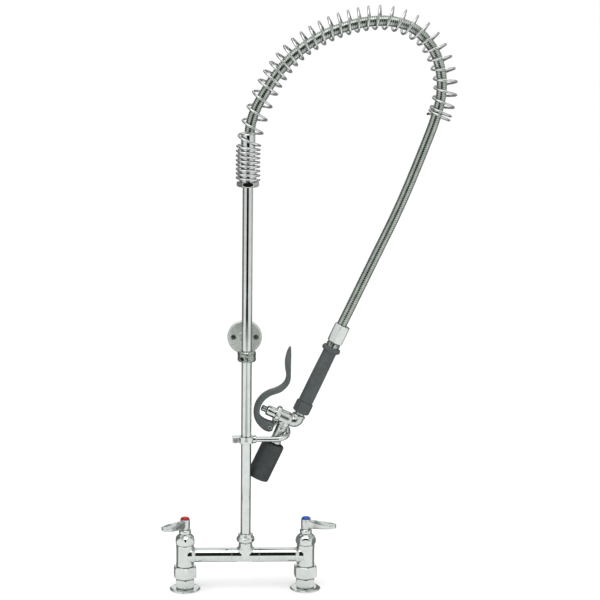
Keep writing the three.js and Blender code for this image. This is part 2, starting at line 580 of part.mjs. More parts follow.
function sprayBody(valve) {
  // elbow off the handle, chamber on the stem axis and the drop to the outlet
  const waterway = [
    [0, 0, -4.8], [0, 0, -7], [0.6, 0, -10.5], [0.5, 0, -14], [-2, 0, -17.8], [-8, 0, -19.4],
    [-18, 0, STEM_Z],
  ];
  const elbow = bar(waterway, 10.2, 9);
  const shoulder = cylinder(11.5, -8.4, -4.5);
  const chamber = axisX(turned([
    [0, 8], [9.5, 8], [VALVE_BODY_R, 11], [VALVE_BODY_R, 29.2], [0, 29.2],
  ]), 0, STEM_Z);
  const outlet = moved(turned([
    [0, 0], [10.5, 0], [9.6, -9], [9.6, -16.5], [0, -16.5],
  ]), OUTLET_X, 0, STEM_Z);
  const lug = new THREE.Shape();
  lug.moveTo(-22, -27);
  lug.lineTo(-22, -35.9);
  lug.lineTo(-27, -35.9);
  lug.lineTo(-32.2, -45.5);
  lug.absarc(PIVOT[0], PIVOT[1], 4.8, -0.42, -4.4, true);
  lug.lineTo(-31, -34.6);
  lug.lineTo(-28.4, -33.4);
  lug.lineTo(-28.4, -27);
  const lugPlate = plateXZ(lug, 6);
  const pinHole = closed(cylinder(2.4, -6, 6, COARSE).rotateX(Math.PI / 2).translate(PIVOT[0], 0, PIVOT[1]));
  const inletBore = bar([[0, 0, 0], ...waterway], 5.5, 7, 8);
  const stemBore = axisX(cylinder(7.3, 7.4, 40), 0, STEM_Z);
  const outletBore = moved(cylinder(5.5, -30, 0, COARSE), OUTLET_X, 0, STEM_Z);
  place(valve, "spray_valve_body",
    cut(join(elbow, shoulder, chamber, outlet, lugPlate), pinHole, inletBore, stemBore, outletBore), chrome);

  const bonnet = axisX(join(
    cylinder(6.9, 22, 31),
    hexNut(26, 29.5, 37.2, 1),
    turned([[0, 36], [8.7, 36], [8.7, 51.6], [7.5, 53], [0, 53]]),
  ), 0, STEM_Z);
  place(valve, "spray_bonnet", cut(
    bonnet,
    axisX(cylinder(3.4, 20, 54, COARSE), 0, STEM_Z),
    axisX(cylinder(5.6, 20, 45, COARSE), 0, STEM_Z),
    axisX(cylinder(5.7, 48.6, 54), 0, STEM_Z),
  ), chrome);

  // plunger: a stem with a disc that closes the seat; the lever pushes its round tip
  place(valve, "plunger_stem", axisX(turned([
    [0, 13.6], [5.8, 13.6], [5.8, 16.4], [5.2, 16.6], [5.2, 19], [3.1, 20], [3.1, 53.4],
    [5.2, 53.8], [5.2, 61], [3.8, 62.5], [0, 63],
  ], COARSE), 0, STEM_Z), brass);
}

function returnSpring(valve) {
  const turns = 5;
  const [start, end] = [21.5, 44];
  class Coil extends THREE.Curve {
    getPoint(t, target = new THREE.Vector3()) {
      const angle = 2 * Math.PI * turns * t;
      return target.set(-start - (end - start) * t, 4.35 * Math.cos(angle), STEM_Z + 4.35 * Math.sin(angle));
    }
  }
  const outline = new THREE.Shape();
  for (let i = 0; i < 4; i += 1) {
    const angle = (Math.PI * i) / 2;
    outline.lineTo(0.6 * Math.cos(angle), 0.6 * Math.sin(angle));
  }
  const coil = new THREE.ExtrudeGeometry(outline, {
    steps: turns * 7, extrudePath: new Coil(), curveSegments: 1,
  });
  place(valve, "plunger_return_spring", closed(coil), steel);
}

function squeezeLever(valve) {
  const points = (list) => list.map(([x, z]) => new THREE.Vector2(x, z));
  // outer edge from the tip down to the pivot end, then back along the inner edge
  const outline = new THREE.Shape();
  outline.moveTo(-64.8, 90.6);
  outline.splineThru(points([
    [-64.8, 83], [-63.4, 75.9], [-61.7, 69.2], [-55.1, 56.6], [-48.9, 47.1], [-47, 38.4],
    [-49, 29.6], [-55.4, 20.4], [-64.9, 11.3], [-71.9, 0.2], [-75.2, -12.3], [-74.3, -24.4], [-69.8, -36], [-62, -44.6],
    [-52.3, -50], [-42, -52.8], [-34, -52], [-30.6, -49.4],
  ]));
  outline.lineTo(-29.2, -46.4);
  outline.lineTo(-30.2, -37.2);
  outline.lineTo(-32.4, -34.2);
  outline.splineThru(points([
    [-42.5, -35.2], [-50, -35.2], [-57, -33.8], [-61.3, -30], [-64.2, -22.3], [-64.9, -13], [-63, -3.9],
    [-57.3, 6], [-45, 18.2], [-39.6, 30], [-38.4, 39], [-40.3, 47.2], [-44.5, 56.4], [-51.5, 72],
    [-56.9, 84], [-61.6, 92.4],
  ]));
  outline.splineThru(points([[-62.5, 94.2], [-63.7, 94.4], [-64.7, 93], [-64.8, 90.6]]));
  const blank = new THREE.ExtrudeGeometry(outline, {
    depth: 2 * LEVER_HALF_DEPTH, bevelEnabled: false, curveSegments: 2,
  });
  const plate = closed(blank.translate(0, 0, -LEVER_HALF_DEPTH).rotateX(Math.PI / 2));
  const slot = closed(new THREE.BoxGeometry(22, 7.2, 30).translate(-33.5, 0, -44));
  const hole = closed(cylinder(2.4, -14, 14, COARSE)
    .rotateX(Math.PI / 2).translate(PIVOT[0], 0, PIVOT[1]));
  place(valve, "squeeze_lever", cut(plate, slot, hole), leverPaint);

  const screw = turned([
    [0, -10.3], [2, -10.3], [2, 10.3], [3.6, 10.3], [3.6, 11.6], [2.9, 12.2], [0, 12.2],
  ], COARSE).rotateX(Math.PI / 2);
  place(valve, "lever_pivot_screw", closed(screw.translate(PIVOT[0], 0, PIVOT[1])), steel);
}

function sprayOutlet(valve) {
  const outlet = frameAt(valve, OUTLET_X, 0, 0);
  place(outlet, "outlet_neck", turned([
    [4.6, -36.4], [8, -36.4], [8, -58], [12, -60], [15.2, -62], [15.2, -65.7], [8, -65.7], [8, -96],
    [4.6, -96], [4.6, -36.4],
  ], FINE), chrome);
  const { r, top, bottom, bore, depth } = BUMPER;
  place(outlet, "spray_bumper", turned([
    [8.4, top], [r - 3.4, top], [r - 1, top - 1.2], [r, top - 4], [r, bottom + 1.5], [r - 1.5, bottom],
    [bore, bottom], [bore, bottom + depth], [8.4, bottom + depth + 4], [8.4, top],
  ]), rubber);
  place(outlet, "spray_face", turned([
    [0, -98.4], [6, -96.6], [8.2, -105.5], [15, -108.2], [15, -111.4], [0, -112.6],
  ]), chrome);
  place(outlet, "spray_face_screw", turned([
    [0, -116.4], [2.6, -116], [3.6, -114.4], [3.6, -113], [0, -113],
  ], COARSE), steel);
}

for (const [side, sign] of [["hot", -1], ["cold", 1]]) inletLeg(side, sign);
crossbarAndTee();
wallBracket();
riserAndHook();
springArch();

const valve = frameAt(model, ...VALVE_ORIGIN);
valve.rotation.y = radians(VALVE_TILT);
sprayHandle(valve);
sprayBody(valve);
returnSpring(valve);
squeezeLever(valve);
sprayOutlet(valve);

export default model;
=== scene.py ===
"""Pre-rinse faucet: fine surfaces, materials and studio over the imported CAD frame."""
import json
import math

import bmesh
import bpy
import numpy as np
from mathutils import Matrix, Vector

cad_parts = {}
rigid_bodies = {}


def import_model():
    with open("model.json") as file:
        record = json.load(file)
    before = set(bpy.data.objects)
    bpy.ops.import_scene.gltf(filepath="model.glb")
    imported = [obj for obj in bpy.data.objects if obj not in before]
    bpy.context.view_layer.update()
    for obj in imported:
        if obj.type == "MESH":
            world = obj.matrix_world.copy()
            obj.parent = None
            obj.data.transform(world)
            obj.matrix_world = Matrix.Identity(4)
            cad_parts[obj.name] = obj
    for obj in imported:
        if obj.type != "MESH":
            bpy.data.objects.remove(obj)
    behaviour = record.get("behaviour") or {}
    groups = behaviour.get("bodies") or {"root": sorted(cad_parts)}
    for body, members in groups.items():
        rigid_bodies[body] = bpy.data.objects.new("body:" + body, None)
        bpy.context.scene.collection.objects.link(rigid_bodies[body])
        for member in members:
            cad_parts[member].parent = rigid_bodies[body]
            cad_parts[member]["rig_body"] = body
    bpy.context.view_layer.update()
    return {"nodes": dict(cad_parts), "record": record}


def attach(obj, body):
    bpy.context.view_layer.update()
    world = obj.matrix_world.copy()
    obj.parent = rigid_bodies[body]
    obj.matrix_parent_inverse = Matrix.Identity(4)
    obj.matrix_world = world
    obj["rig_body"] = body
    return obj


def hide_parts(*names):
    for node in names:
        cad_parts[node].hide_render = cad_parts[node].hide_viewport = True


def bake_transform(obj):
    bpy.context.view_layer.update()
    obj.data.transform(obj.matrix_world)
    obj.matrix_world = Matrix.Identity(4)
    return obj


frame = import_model()

MM = 0.001
TAU = 2 * math.pi

# ---- sizes in millimetres, as the CAD model has them ----

INLET_SPACING = 203.2
COLUMN_TOP = 78.5
CROSSBAR_Z = 60
BODY_HALF = 17.5
TEE_HALF = 23
TEE_NECK_TOP = 82.4
TEE_NECK_R = 11.5
BONNET_TOP = 97.5
PACKING_TOP = 105
HUB_R = 8.2
HUB_TOP = 122.6
LEVER_REACH = 57
LEVER_HALF_WIDTH = 10.5
HANDLE_ANGLES = {"hot": 232.5, "cold": -33.5}
BONNET_TURNS = {"hot": 4, "cold": 27}  # how far each hexagon was tightened, in degrees
RISER_R = 8.55
RISER_BOTTOM = 87
RISER_TOP = 700
SWIVEL_NUT_TOP = 97.5
SWIVEL_SCREW_Z = 88
SWIVEL_SCREW_ANGLE = -38
BRACKET_Z = 403
BRACKET_R = 15.5
BRACKET_HALF = 8.8
WALL_Y = 152.4
WALL_SCREW_SPACING = 39
HOOK_Z = 261
HOOK_ROD_R = 4.3
SEAT_BOTTOM = 684.6
SEAT_TOP = 693.6
SPRING_R = 18.2
SPRING_WIRE_R = 1.95
SPRING_STRETCHES = [(8, 7.4), (4, 23.5), (14, 15.6), (12, 18.6), (2, 6.5)]  # turns, pitch
VALVE_ORIGIN = (91, 20, 302.5)
VALVE_TILT = 24.8
STEM_Z = -19.6
OUTLET_X = -17.5
PIVOT = (-36.5, -43.6)
LEVER_DEPTH = 20
HOSE_R = 8.5
FERRULE_NUT_TURN = 46  # degrees
FERRULE_NUT_ACROSS = 25.2
FERRULE_NUT_BOTTOM = 131.9
FERRULE_NUT_TOP = 163.8

# The hose's route in metres, as the CAD model lays it.
HOSE_ROUTE = [
    (0.002, 0, 0.7728), (0.005, 0.0004, 0.790), (0.0135, 0.001, 0.814), (0.0255, 0.0018, 0.835),
    (0.0385, 0.0026, 0.856), (0.052, 0.0034, 0.8745), (0.073, 0.0048, 0.8965), (0.0955, 0.0062, 0.914),
    (0.121, 0.0078, 0.929), (0.148, 0.0094, 0.940), (0.178, 0.0112, 0.9485), (0.205, 0.013, 0.952),
    (0.226, 0.0144, 0.952), (0.243, 0.0154, 0.949), (0.2595, 0.0164, 0.9435), (0.2725, 0.0172, 0.936),
    (0.2835, 0.0179, 0.926), (0.2935, 0.0185, 0.9145), (0.301, 0.019, 0.9035), (0.3065, 0.0194, 0.891),
    (0.3105, 0.0197, 0.878), (0.3133, 0.0199, 0.8635), (0.3143, 0.020, 0.848), (0.3133, 0.020, 0.831),
    (0.310, 0.020, 0.813), (0.3015, 0.020, 0.784), (0.2895, 0.020, 0.751), (0.2745, 0.020, 0.7115),
    (0.258, 0.020, 0.670), (0.2408, 0.020, 0.630), (0.2105, 0.020, 0.565), (0.170, 0.020, 0.478),
    (0.158, 0.020, 0.4525),
]

# The spring's centre line in millimetres, as the CAD model lays it.
SPRING_ROUTE = [
    (0, 0, 693.6), (0.6, 0, 749), (3.4, 0.2, 768), (18.5, 1.2, 816), (39, 2.4, 859.5),
    (70, 4.4, 899), (105, 6.6, 925.5), (146, 9.1, 945), (190.5, 11.9, 956), (222.5, 13.9, 957),
    (257, 16.1, 947.5), (287.5, 18, 927), (307.5, 19.2, 898), (318.5, 19.9, 865),
    (320.4, 20, 848), (319, 20, 830), (315.2, 20, 811.5), (309, 20, 794.5),
]

# ---- camera ----

CAMERA_PLACE = Vector((-0.0717, -2.929, 1.0661))
CAMERA_PITCH = 10.97  # degrees below level
CAMERA_TURN = 3.1  # degrees to the right of +Y
CAMERA_ROLL = 0.71
CAMERA_LENS = 109.07


def make_camera():
    data = bpy.data.cameras.new("camera")
    data.lens = CAMERA_LENS
    data.sensor_width = 36
    camera = bpy.data.objects.new("camera", data)
    pitch, turn = math.radians(CAMERA_PITCH), math.radians(CAMERA_TURN)
    forward = Vector((math.sin(turn) * math.cos(pitch), math.cos(turn) * math.cos(pitch), -math.sin(pitch)))
    right = Vector((math.cos(turn), -math.sin(turn), 0))
    up = right.cross(forward)
    basis = Matrix((right, up, -forward)).transposed()
    roll = Matrix.Rotation(math.radians(CAMERA_ROLL), 3, "Z")
    camera.matrix_world = Matrix.Translation(CAMERA_PLACE) @ (basis @ roll).to_4x4()
    bpy.context.scene.collection.objects.link(camera)
    bpy.context.scene.camera = camera


# ---- curves ----


def smooth_route(points, samples):
    """Centripetal Catmull-Rom curve through points, sampled evenly by length."""
    p = np.asarray(points, float)
    ends = [2 * p[0] - p[1]] + list(p) + [2 * p[-1] - p[-2]]
    fine = []
    for a, b, c, d in zip(ends, ends[1:], ends[2:], ends[3:]):
        t0 = 0.0
        t1 = t0 + math.sqrt(np.linalg.norm(b - a))
        t2 = t1 + math.sqrt(np.linalg.norm(c - b))
        t3 = t2 + math.sqrt(np.linalg.norm(d - c))
        for t in np.linspace(t1, t2, 24, endpoint=False):
            ab = a + (b - a) * (t - t0) / (t1 - t0)
            bc = b + (c - b) * (t - t1) / (t2 - t1)
            cd = c + (d - c) * (t - t2) / (t3 - t2)
            abc = ab + (bc - ab) * (t - t0) / (t2 - t0)
            bcd = bc + (cd - bc) * (t - t1) / (t3 - t1)
            fine.append(abc + (bcd - abc) * (t - t1) / (t2 - t1))
    fine = np.array(fine + [p[-1]])
    reach = np.concatenate([[0], np.cumsum(np.linalg.norm(np.diff(fine, axis=0), axis=1))])
    want = np.linspace(0, reach[-1], samples)
    return np.stack([np.interp(want, reach, fine[:, k]) for k in range(3)], axis=1), reach[-1]


def rounded(profile, radius, closed=False, steps=4):
    """A polyline with its corners eased by up to radius."""
    points = [np.array(p, float) for p in profile]
    count = len(points)
    result = []
    for i, corner in enumerate(points):
        if not closed and i in (0, count - 1):
            result.append(corner)
            continue
        before, after = points[i - 1] - corner, points[(i + 1) % count] - corner
        near = min(radius, 0.45 * np.linalg.norm(before), 0.45 * np.linalg.norm(after))
        start = corner + before / np.linalg.norm(before) * near
        end = corner + after / np.linalg.norm(after) * near
        for k in range(steps + 1):
            t = k / steps
            result.append((1 - t) ** 2 * start + 2 * t * (1 - t) * corner + t * t * end)
    return result


# ---- mesh builders; all take millimetres ----

CHAMFER_STEPS = 8
CHAMFER_SLOPE = 0.62  # a nut's chamfer: its height over its depth


def full_turn(count):
    """Angles spread evenly over a turn."""
    return [TAU * k / count for k in range(count)]


def circle_ring(angles, radius, z):
    return [(radius * math.cos(a), radius * math.sin(a), z) for a in angles]


def finish_mesh(name, vertices, faces, sharp_angle=32):
    mesh = bpy.data.meshes.new(name)
    mesh.from_pydata([tuple(v) for v in vertices], [], faces)
    bm = bmesh.new()
    bm.from_mesh(mesh)
    bmesh.ops.remove_doubles(bm, verts=bm.verts, dist=1e-4)
    bmesh.ops.recalc_face_normals(bm, faces=bm.faces)
    limit = math.radians(sharp_angle)
    for edge in bm.edges:
        edge.smooth = edge.calc_face_angle(0) < limit
    for face in bm.faces:
        face.smooth = True
    bm.to_mesh(mesh)
    bm.free()
    piece = bpy.data.objects.new(name, mesh)
    bpy.context.scene.collection.objects.link(piece)
    return piece


def loft(name, rings, cap=True, loop=False, sharp_angle=32):
    """A skin over rings of equally many points, capped unless the rings close on themselves."""
    rings = np.asarray(rings, float)
    count, around = rings.shape[:2]
    faces = []
    for i in range(count if loop else count - 1):
        j = (i + 1) % count
        for k in range(around):
            n = (k + 1) % around
            faces.append((i * around + k, i * around + n, j * around + n, j * around + k))
    if cap and not loop:
        faces.append(tuple(range(around))[::-1])
        faces.append(tuple((count - 1) * around + k for k in range(around)))
    return finish_mesh(name, rings.reshape(-1, 3), faces, sharp_angle)


def turned(name, profile, ease=0.5, segments=96, closed=False):
    """A turned piece about Z; the profile runs from axis to axis, or closes on itself."""
    rings = [circle_ring(full_turn(segments), r, z) for r, z in rounded(profile, ease, closed)]
    return loft(name, rings, cap=False, loop=closed)


def hex_radius(angle, flats, softness=46):
    """The radius of a hexagon at an angle, its corners slightly eased."""
    total = sum(abs(math.cos(angle - i * math.pi / 3)) ** softness for i in range(3))
    return flats / 2 / total ** (1 / softness)


def hexagon_ring(angles, flats, limit, z, sharpness=24):
    """A hexagon at height z, softly cut back to a circle of radius limit."""
    ring = []
    for a in angles:
        r = (hex_radius(a, flats) ** -sharpness + limit ** -sharpness) ** (-1 / sharpness)
        ring.append((r * math.cos(a), r * math.sin(a), z))
    return ring


def hex_nut(name, flats, low, high, bore, segments=144):
    """A hexagonal nut about Z: flats with eased corners, ends turned to a chamfer."""
    corner = flats / math.sqrt(3)
    chamfer = (corner - flats / 2) * CHAMFER_SLOPE
    levels = []
    for k in range(CHAMFER_STEPS + 1):
        t = k / CHAMFER_STEPS
        levels.append((low + chamfer * t, flats / 2 - 0.3 + (corner - flats / 2 + 0.5) * t))
    levels += [(low + (high - low) * t, corner + 1) for t in (0.35, 0.65)]
    levels += [(low + high - z, limit) for z, limit in levels[CHAMFER_STEPS::-1]]
    angles = full_turn(segments)
    rings = [circle_ring(angles, bore, low)]
    rings += [hexagon_ring(angles, flats, limit, z) for z, limit in levels]
    rings.append(circle_ring(angles, bore, high))
    return loft(name, rings, loop=True, sharp_angle=24)


def sweep(name, line, radius, sides=24, ease_ends=0.6):
    """A round bar along a sampled line; radius is a number or one value for each sample.

    Its end faces are drawn in by ease_ends, so that the rims aren't knife edges.
    """
    line = np.asarray(line, float)
    radii = np.broadcast_to(np.asarray(radius, float), (len(line),))
    tangents = np.gradient(line, axis=0)
    tangents /= np.linalg.norm(tangents, axis=1)[:, None]
    side = np.cross(tangents[0], (0.0, 1.0, 0.0))
    if np.linalg.norm(side) < 0.1:
        side = np.cross(tangents[0], (0.0, 0.0, 1.0))
    rings = []
    for point, tangent, r in zip(line, tangents, radii):
        side = side - tangent * side.dot(tangent)
        side /= np.linalg.norm(side)
        other = np.cross(tangent, side)
        rings.append([
            point + r * (math.cos(a) * side + math.sin(a) * other)
            for a in full_turn(sides)
        ])
    if ease_ends:
        first = [line[0] + (q - line[0]) * (1 - ease_ends / radii[0]) for q in rings[0]]
        last = [line[-1] + (q - line[-1]) * (1 - ease_ends / radii[-1]) for q in rings[-1]]
        rings = [first] + rings + [last]
    return loft(name, rings)


def box_mesh(name, low, high, bevel=0.8):
    """A block with softly bevelled edges."""
    bm = bmesh.new()
    bmesh.ops.create_cube(bm, size=1)
    size = Vector(high) - Vector(low)
    middle = (Vector(high) + Vector(low)) / 2
    bmesh.ops.scale(bm, vec=size, verts=bm.verts)
    bmesh.ops.translate(bm, vec=middle, verts=bm.verts)
    bmesh.ops.bevel(bm, geom=bm.edges, offset=bevel, segments=3, profile=0.7, affect="EDGES")
    vertices = [tuple(v.co) for v in bm.verts]
    faces = [tuple(v.index for v in f.verts) for f in bm.faces]
    bm.free()
    return finish_mesh(name, vertices, faces)


def shape_with(piece, tool, operation):
    """Boolean of piece with tool; the tool is used up."""
    change = piece.modifiers.new("cut", "BOOLEAN")
    change.object = tool
    change.operation = operation
    change.solver = "EXACT"
    apply_modifiers(piece)
    bpy.data.objects.remove(tool)
    return piece


def apply_modifiers(piece):
    """Bakes the piece's modifiers into its mesh."""
    bpy.context.view_layer.update()
    graph = bpy.context.evaluated_depsgraph_get()
    mesh = bpy.data.meshes.new_from_object(piece.evaluated_get(graph))
    piece.modifiers.clear()
    piece.data = mesh


def fused(piece, voxel, smoothing):
    """One skin round a piece's overlapping shells, its inner corners eased like a casting's."""
    skin = piece.modifiers.new("skin", "REMESH")
    skin.mode = "VOXEL"
    skin.voxel_size = voxel
    ease = piece.modifiers.new("ease", "SMOOTH")
    ease.factor = 0.5
    ease.iterations = smoothing
    apply_modifiers(piece)
    reshade(piece, 50)
    return piece


def reshade(piece, angle=32):
    bm = bmesh.new()
    bm.from_mesh(piece.data)
    for edge in bm.edges:
        edge.smooth = edge.calc_face_angle(0) < math.radians(angle)
    for face in bm.faces:
        face.smooth = True
    bm.to_mesh(piece.data)
    bm.free()


def moved(piece, matrix):
    piece.data.transform(matrix)
    return piece


def shift(x, y, z):
    return Matrix.Translation((x, y, z))


def turn(degrees, axis):
    return Matrix.Rotation(math.radians(degrees), 4, axis)


VALVE = shift(*VALVE_ORIGIN) @ turn(VALVE_TILT, "Y")
OUTLET = VALVE @ shift(OUTLET_X, 0, 0)
STEM = VALVE @ shift(0, 0, STEM_Z) @ turn(-90, "Y")


BLENDED = ("arch_spring", "hose_conduit")  # these stay off every body instead of riding on one


def fit(piece, node, material, matrix=None):
    """Puts a finished piece in the place of its CAD node, in metres and on the node's body."""
    if matrix is not None:
        piece.data.transform(matrix)
    piece.data.transform(Matrix.Scale(MM, 4))
    piece.data.materials.clear()
    piece.data.materials.append(material)
    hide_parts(node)
    if node not in BLENDED:
        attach(piece, frame["nodes"][node]["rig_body"])
    return piece


# ---- materials ----


class Shader:
    """A Principled material with helpers for procedural detail in object space."""

    def __init__(self, name, color, metallic, roughness):
        self.material = bpy.data.materials.new(name)
        self.material.use_nodes = True
        self.tree = self.material.node_tree
        self.bsdf = self.tree.nodes["Principled BSDF"]
        self.bsdf.inputs["Base Color"].default_value = (*color, 1)
        self.bsdf.inputs["Metallic"].default_value = metallic
        self.bsdf.inputs["Roughness"].default_value = roughness
        self.coordinates = self.tree.nodes.new("ShaderNodeTexCoord")
        self.normal = None

    def link(self, a, b):
        self.tree.links.new(a, b)

    def noise(self, scale, detail=4, roughness=0.55, stretch=None):
        node = self.tree.nodes.new("ShaderNodeTexNoise")
        node.inputs["Scale"].default_value = scale
        node.inputs["Detail"].default_value = detail
        node.inputs["Roughness"].default_value = roughness
        source = self.coordinates.outputs["Object"]
        if stretch:
            mapping = self.tree.nodes.new("ShaderNodeMapping")
            mapping.inputs["Scale"].default_value = stretch
            self.link(source, mapping.inputs["Vector"])
            source = mapping.outputs["Vector"]
        self.link(source, node.inputs["Vector"])
        return node.outputs["Fac"]

    def spots(self, scale):
        node = self.tree.nodes.new("ShaderNodeTexVoronoi")
        node.inputs["Scale"].default_value = scale
        self.link(self.coordinates.outputs["Object"], node.inputs["Vector"])
        return node.outputs["Distance"]

    # convex-edge mask from pointiness, used to paint edge highlights on the rubber and the lever coating
    def edges(self, low=0.53, high=0.60):
        node = self.tree.nodes.new("ShaderNodeNewGeometry")
        return self.range(node.outputs["Pointiness"], low, high, 0, 1)

    def range(self, value, low, high, to_low, to_high):
        node = self.tree.nodes.new("ShaderNodeMapRange")
        node.inputs["From Min"].default_value = low
        node.inputs["From Max"].default_value = high
        node.inputs["To Min"].default_value = to_low
        node.inputs["To Max"].default_value = to_high
        self.link(value, node.inputs["Value"])
        return node.outputs["Result"]

    def color_mix(self, factor, first, second):
        node = self.tree.nodes.new("ShaderNodeMix")
        node.data_type = "RGBA"
        self.link(factor, node.inputs["Factor"])
        for socket, value in ((node.inputs[6], first), (node.inputs[7], second)):
            if isinstance(value, tuple):
                socket.default_value = (*value, 1)
            else:
                self.link(value, socket)
        return node.outputs[2]

    def color(self, value):
        self.link(value, self.bsdf.inputs["Base Color"])

    def roughness(self, value):
        self.link(value, self.bsdf.inputs["Roughness"])

    def bump(self, height, strength, distance):
        node = self.tree.nodes.new("ShaderNodeBump")
        node.inputs["Strength"].default_value = strength
        node.inputs["Distance"].default_value = distance
        self.link(height, node.inputs["Height"])
        if self.normal is not None:
            self.link(self.normal, node.inputs["Normal"])
        self.normal = node.outputs["Normal"]
        self.link(self.normal, self.bsdf.inputs["Normal"])


def chrome():
    s = Shader("chrome", (0.57, 0.60, 0.58), 1, 0.03)
    smudge = s.noise(38, 5, 0.6)
    s.roughness(s.range(smudge, 0.45, 0.8, 0.018, 0.07))
    s.color(s.color_mix(s.range(s.noise(90, 3), 0.4, 0.7, 0, 1), (0.60, 0.63, 0.61), (0.54, 0.57, 0.55)))
    s.bump(s.noise(55, 2), 0.03, 0.0003)
    return s.material


def cast_chrome():
    s = Shader("cast_chrome", (0.56, 0.59, 0.57), 1, 0.24)
    s.color(s.color_mix(s.range(s.noise(130, 5), 0.35, 0.65, 0, 1), (0.60, 0.63, 0.61), (0.50, 0.53, 0.51)))
    s.roughness(s.range(s.noise(150, 4), 0.3, 0.7, 0.17, 0.3))
    s.bump(s.noise(700, 4), 0.15, 0.0001)
    return s.material


def blackened():
    s = Shader("blackened_steel", (0.012, 0.012, 0.013), 0.6, 0.4)
    s.roughness(s.range(s.noise(600, 4), 0.3, 0.7, 0.32, 0.5))
    s.bump(s.noise(1800, 3), 0.2, 0.00006)
    return s.material


def dark_steel():
    s = Shader("dark_steel", (0.10, 0.11, 0.10), 1, 0.3)
    s.color(s.color_mix(s.range(s.noise(380, 4), 0.38, 0.62, 0, 1), (0.05, 0.06, 0.05), (0.20, 0.22, 0.20)))
    s.roughness(s.range(s.noise(600, 4), 0.3, 0.7, 0.22, 0.4))
    s.bump(s.noise(1800, 3), 0.2, 0.00006)
    return s.material


def cast_grey():
    s = Shader("cast_grey", (0.30, 0.33, 0.30), 1, 0.24)
    mottle = s.noise(330, 6, 0.65)
    s.color(s.color_mix(s.range(mottle, 0.4, 0.62, 0, 1), (0.13, 0.15, 0.13), (0.52, 0.56, 0.52)))
    s.roughness(s.range(s.noise(320, 4), 0.3, 0.7, 0.14, 0.34))
    s.bump(s.spots(520), 0.6, 0.0006)
    s.bump(s.noise(1500, 4), 0.3, 0.0001)
    return s.material


def satin_plate():
    s = Shader("satin_plate", (0.54, 0.58, 0.54), 0.9, 0.36)
    mottle = s.noise(420, 5, 0.7)
    s.color(s.color_mix(s.range(mottle, 0.38, 0.62, 0, 1), (0.44, 0.48, 0.44), (0.66, 0.70, 0.66)))
    s.bump(s.spots(480), 0.5, 0.0005)
    s.roughness(s.range(s.noise(240, 5), 0.3, 0.7, 0.34, 0.5))
    s.bump(s.noise(1800, 3), 0.18, 0.00008)
    return s.material


def spring_steel():
    s = Shader("spring_steel", (0.60, 0.61, 0.61), 1, 0.05)
    s.color(s.color_mix(s.range(s.noise(120, 5), 0.35, 0.7, 0, 1), (0.66, 0.67, 0.67), (0.46, 0.47, 0.47)))
    s.roughness(s.range(s.noise(420, 4), 0.3, 0.7, 0.05, 0.14))
    s.bump(s.noise(2600, 2), 0.12, 0.00006)
    return s.material


def conduit_steel():
    s = Shader("conduit_steel", (0.38, 0.42, 0.38), 1, 0.13)
    s.color(s.color_mix(s.range(s.noise(75, 5), 0.35, 0.7, 0, 1), (0.42, 0.46, 0.42), (0.30, 0.34, 0.30)))
    s.roughness(s.range(s.noise(500, 4), 0.3, 0.7, 0.09, 0.2))
    s.bump(s.noise(2200, 3), 0.12, 0.00006)
    return s.material


def brass():
    s = Shader("brass", (0.70, 0.52, 0.27), 1, 0.3)
    s.color(s.color_mix(s.range(s.noise(150, 4), 0.3, 0.7, 0, 1), (0.74, 0.56, 0.30), (0.52, 0.38, 0.20)))
    s.roughness(s.range(s.noise(400, 3), 0.3, 0.7, 0.22, 0.45))
    s.bump(s.noise(60, 2, stretch=(1, 1, 90)), 0.1, 0.00008)
    return s.material


def screw_steel():
    s = Shader("screw_steel", (0.42, 0.44, 0.42), 1, 0.28)
    s.roughness(s.range(s.noise(700, 4), 0.3, 0.7, 0.18, 0.42))
    s.color(s.color_mix(s.range(s.noise(260, 4), 0.4, 0.7, 0, 1), (0.50, 0.52, 0.50), (0.20, 0.21, 0.20)))
    s.bump(s.noise(2400, 2), 0.15, 0.00006)
    return s.material


def rubber(name, dark, light, grain):
    s = Shader(name, dark, 0, 0.6)
    dust = s.range(s.noise(70, 6, 0.65), 0.45, 0.75, 0, 0.55)
    base = s.color_mix(dust, dark, light)
    # painted highlight: sharp outer edges, found by pointiness, are lightened to 1.7 times the light tone
    edge_highlight = tuple(min(1, c * 1.7) for c in light)
    s.color(s.color_mix(s.edges(), base, edge_highlight))
    s.roughness(s.range(s.noise(180, 5), 0.3, 0.7, 0.46, 0.68))
    s.bump(s.noise(grain, 4, 0.6), 0.22, 0.00012)
    s.bsdf.inputs["Specular IOR Level"].default_value = 0.42
    return s.material


def lever_coating():
    s = Shader("lever_coating", (0.07, 0.087, 0.085), 0, 0.36)
    tone = s.color_mix(s.range(s.noise(55, 5), 0.35, 0.7, 0, 1), (0.062, 0.078, 0.076), (0.088, 0.106, 0.103))
    # painted highlight: sharp edges, found by pointiness, are lightened to a pale grey
    s.color(s.color_mix(s.edges(0.54, 0.62), tone, (0.20, 0.22, 0.22)))
    s.roughness(s.range(s.noise(260, 4), 0.3, 0.7, 0.34, 0.5))
    s.bump(s.noise(420, 2), 0.12, 0.0002)
    s.bump(s.noise(2400, 2), 0.1, 0.00006)
    return s.material


def index_plastic(name, deep, bright):
    s = Shader(name, bright, 0, 0.2)
    s.color(s.color_mix(s.range(s.noise(300, 3), 0.35, 0.7, 0, 1), deep, bright))
    s.roughness(s.range(s.noise(500, 3), 0.3, 0.7, 0.14, 0.3))
    s.bump(s.noise(600, 2), 0.06, 0.0001)
    s.bsdf.inputs["Specular IOR Level"].default_value = 0.3
    return s.material


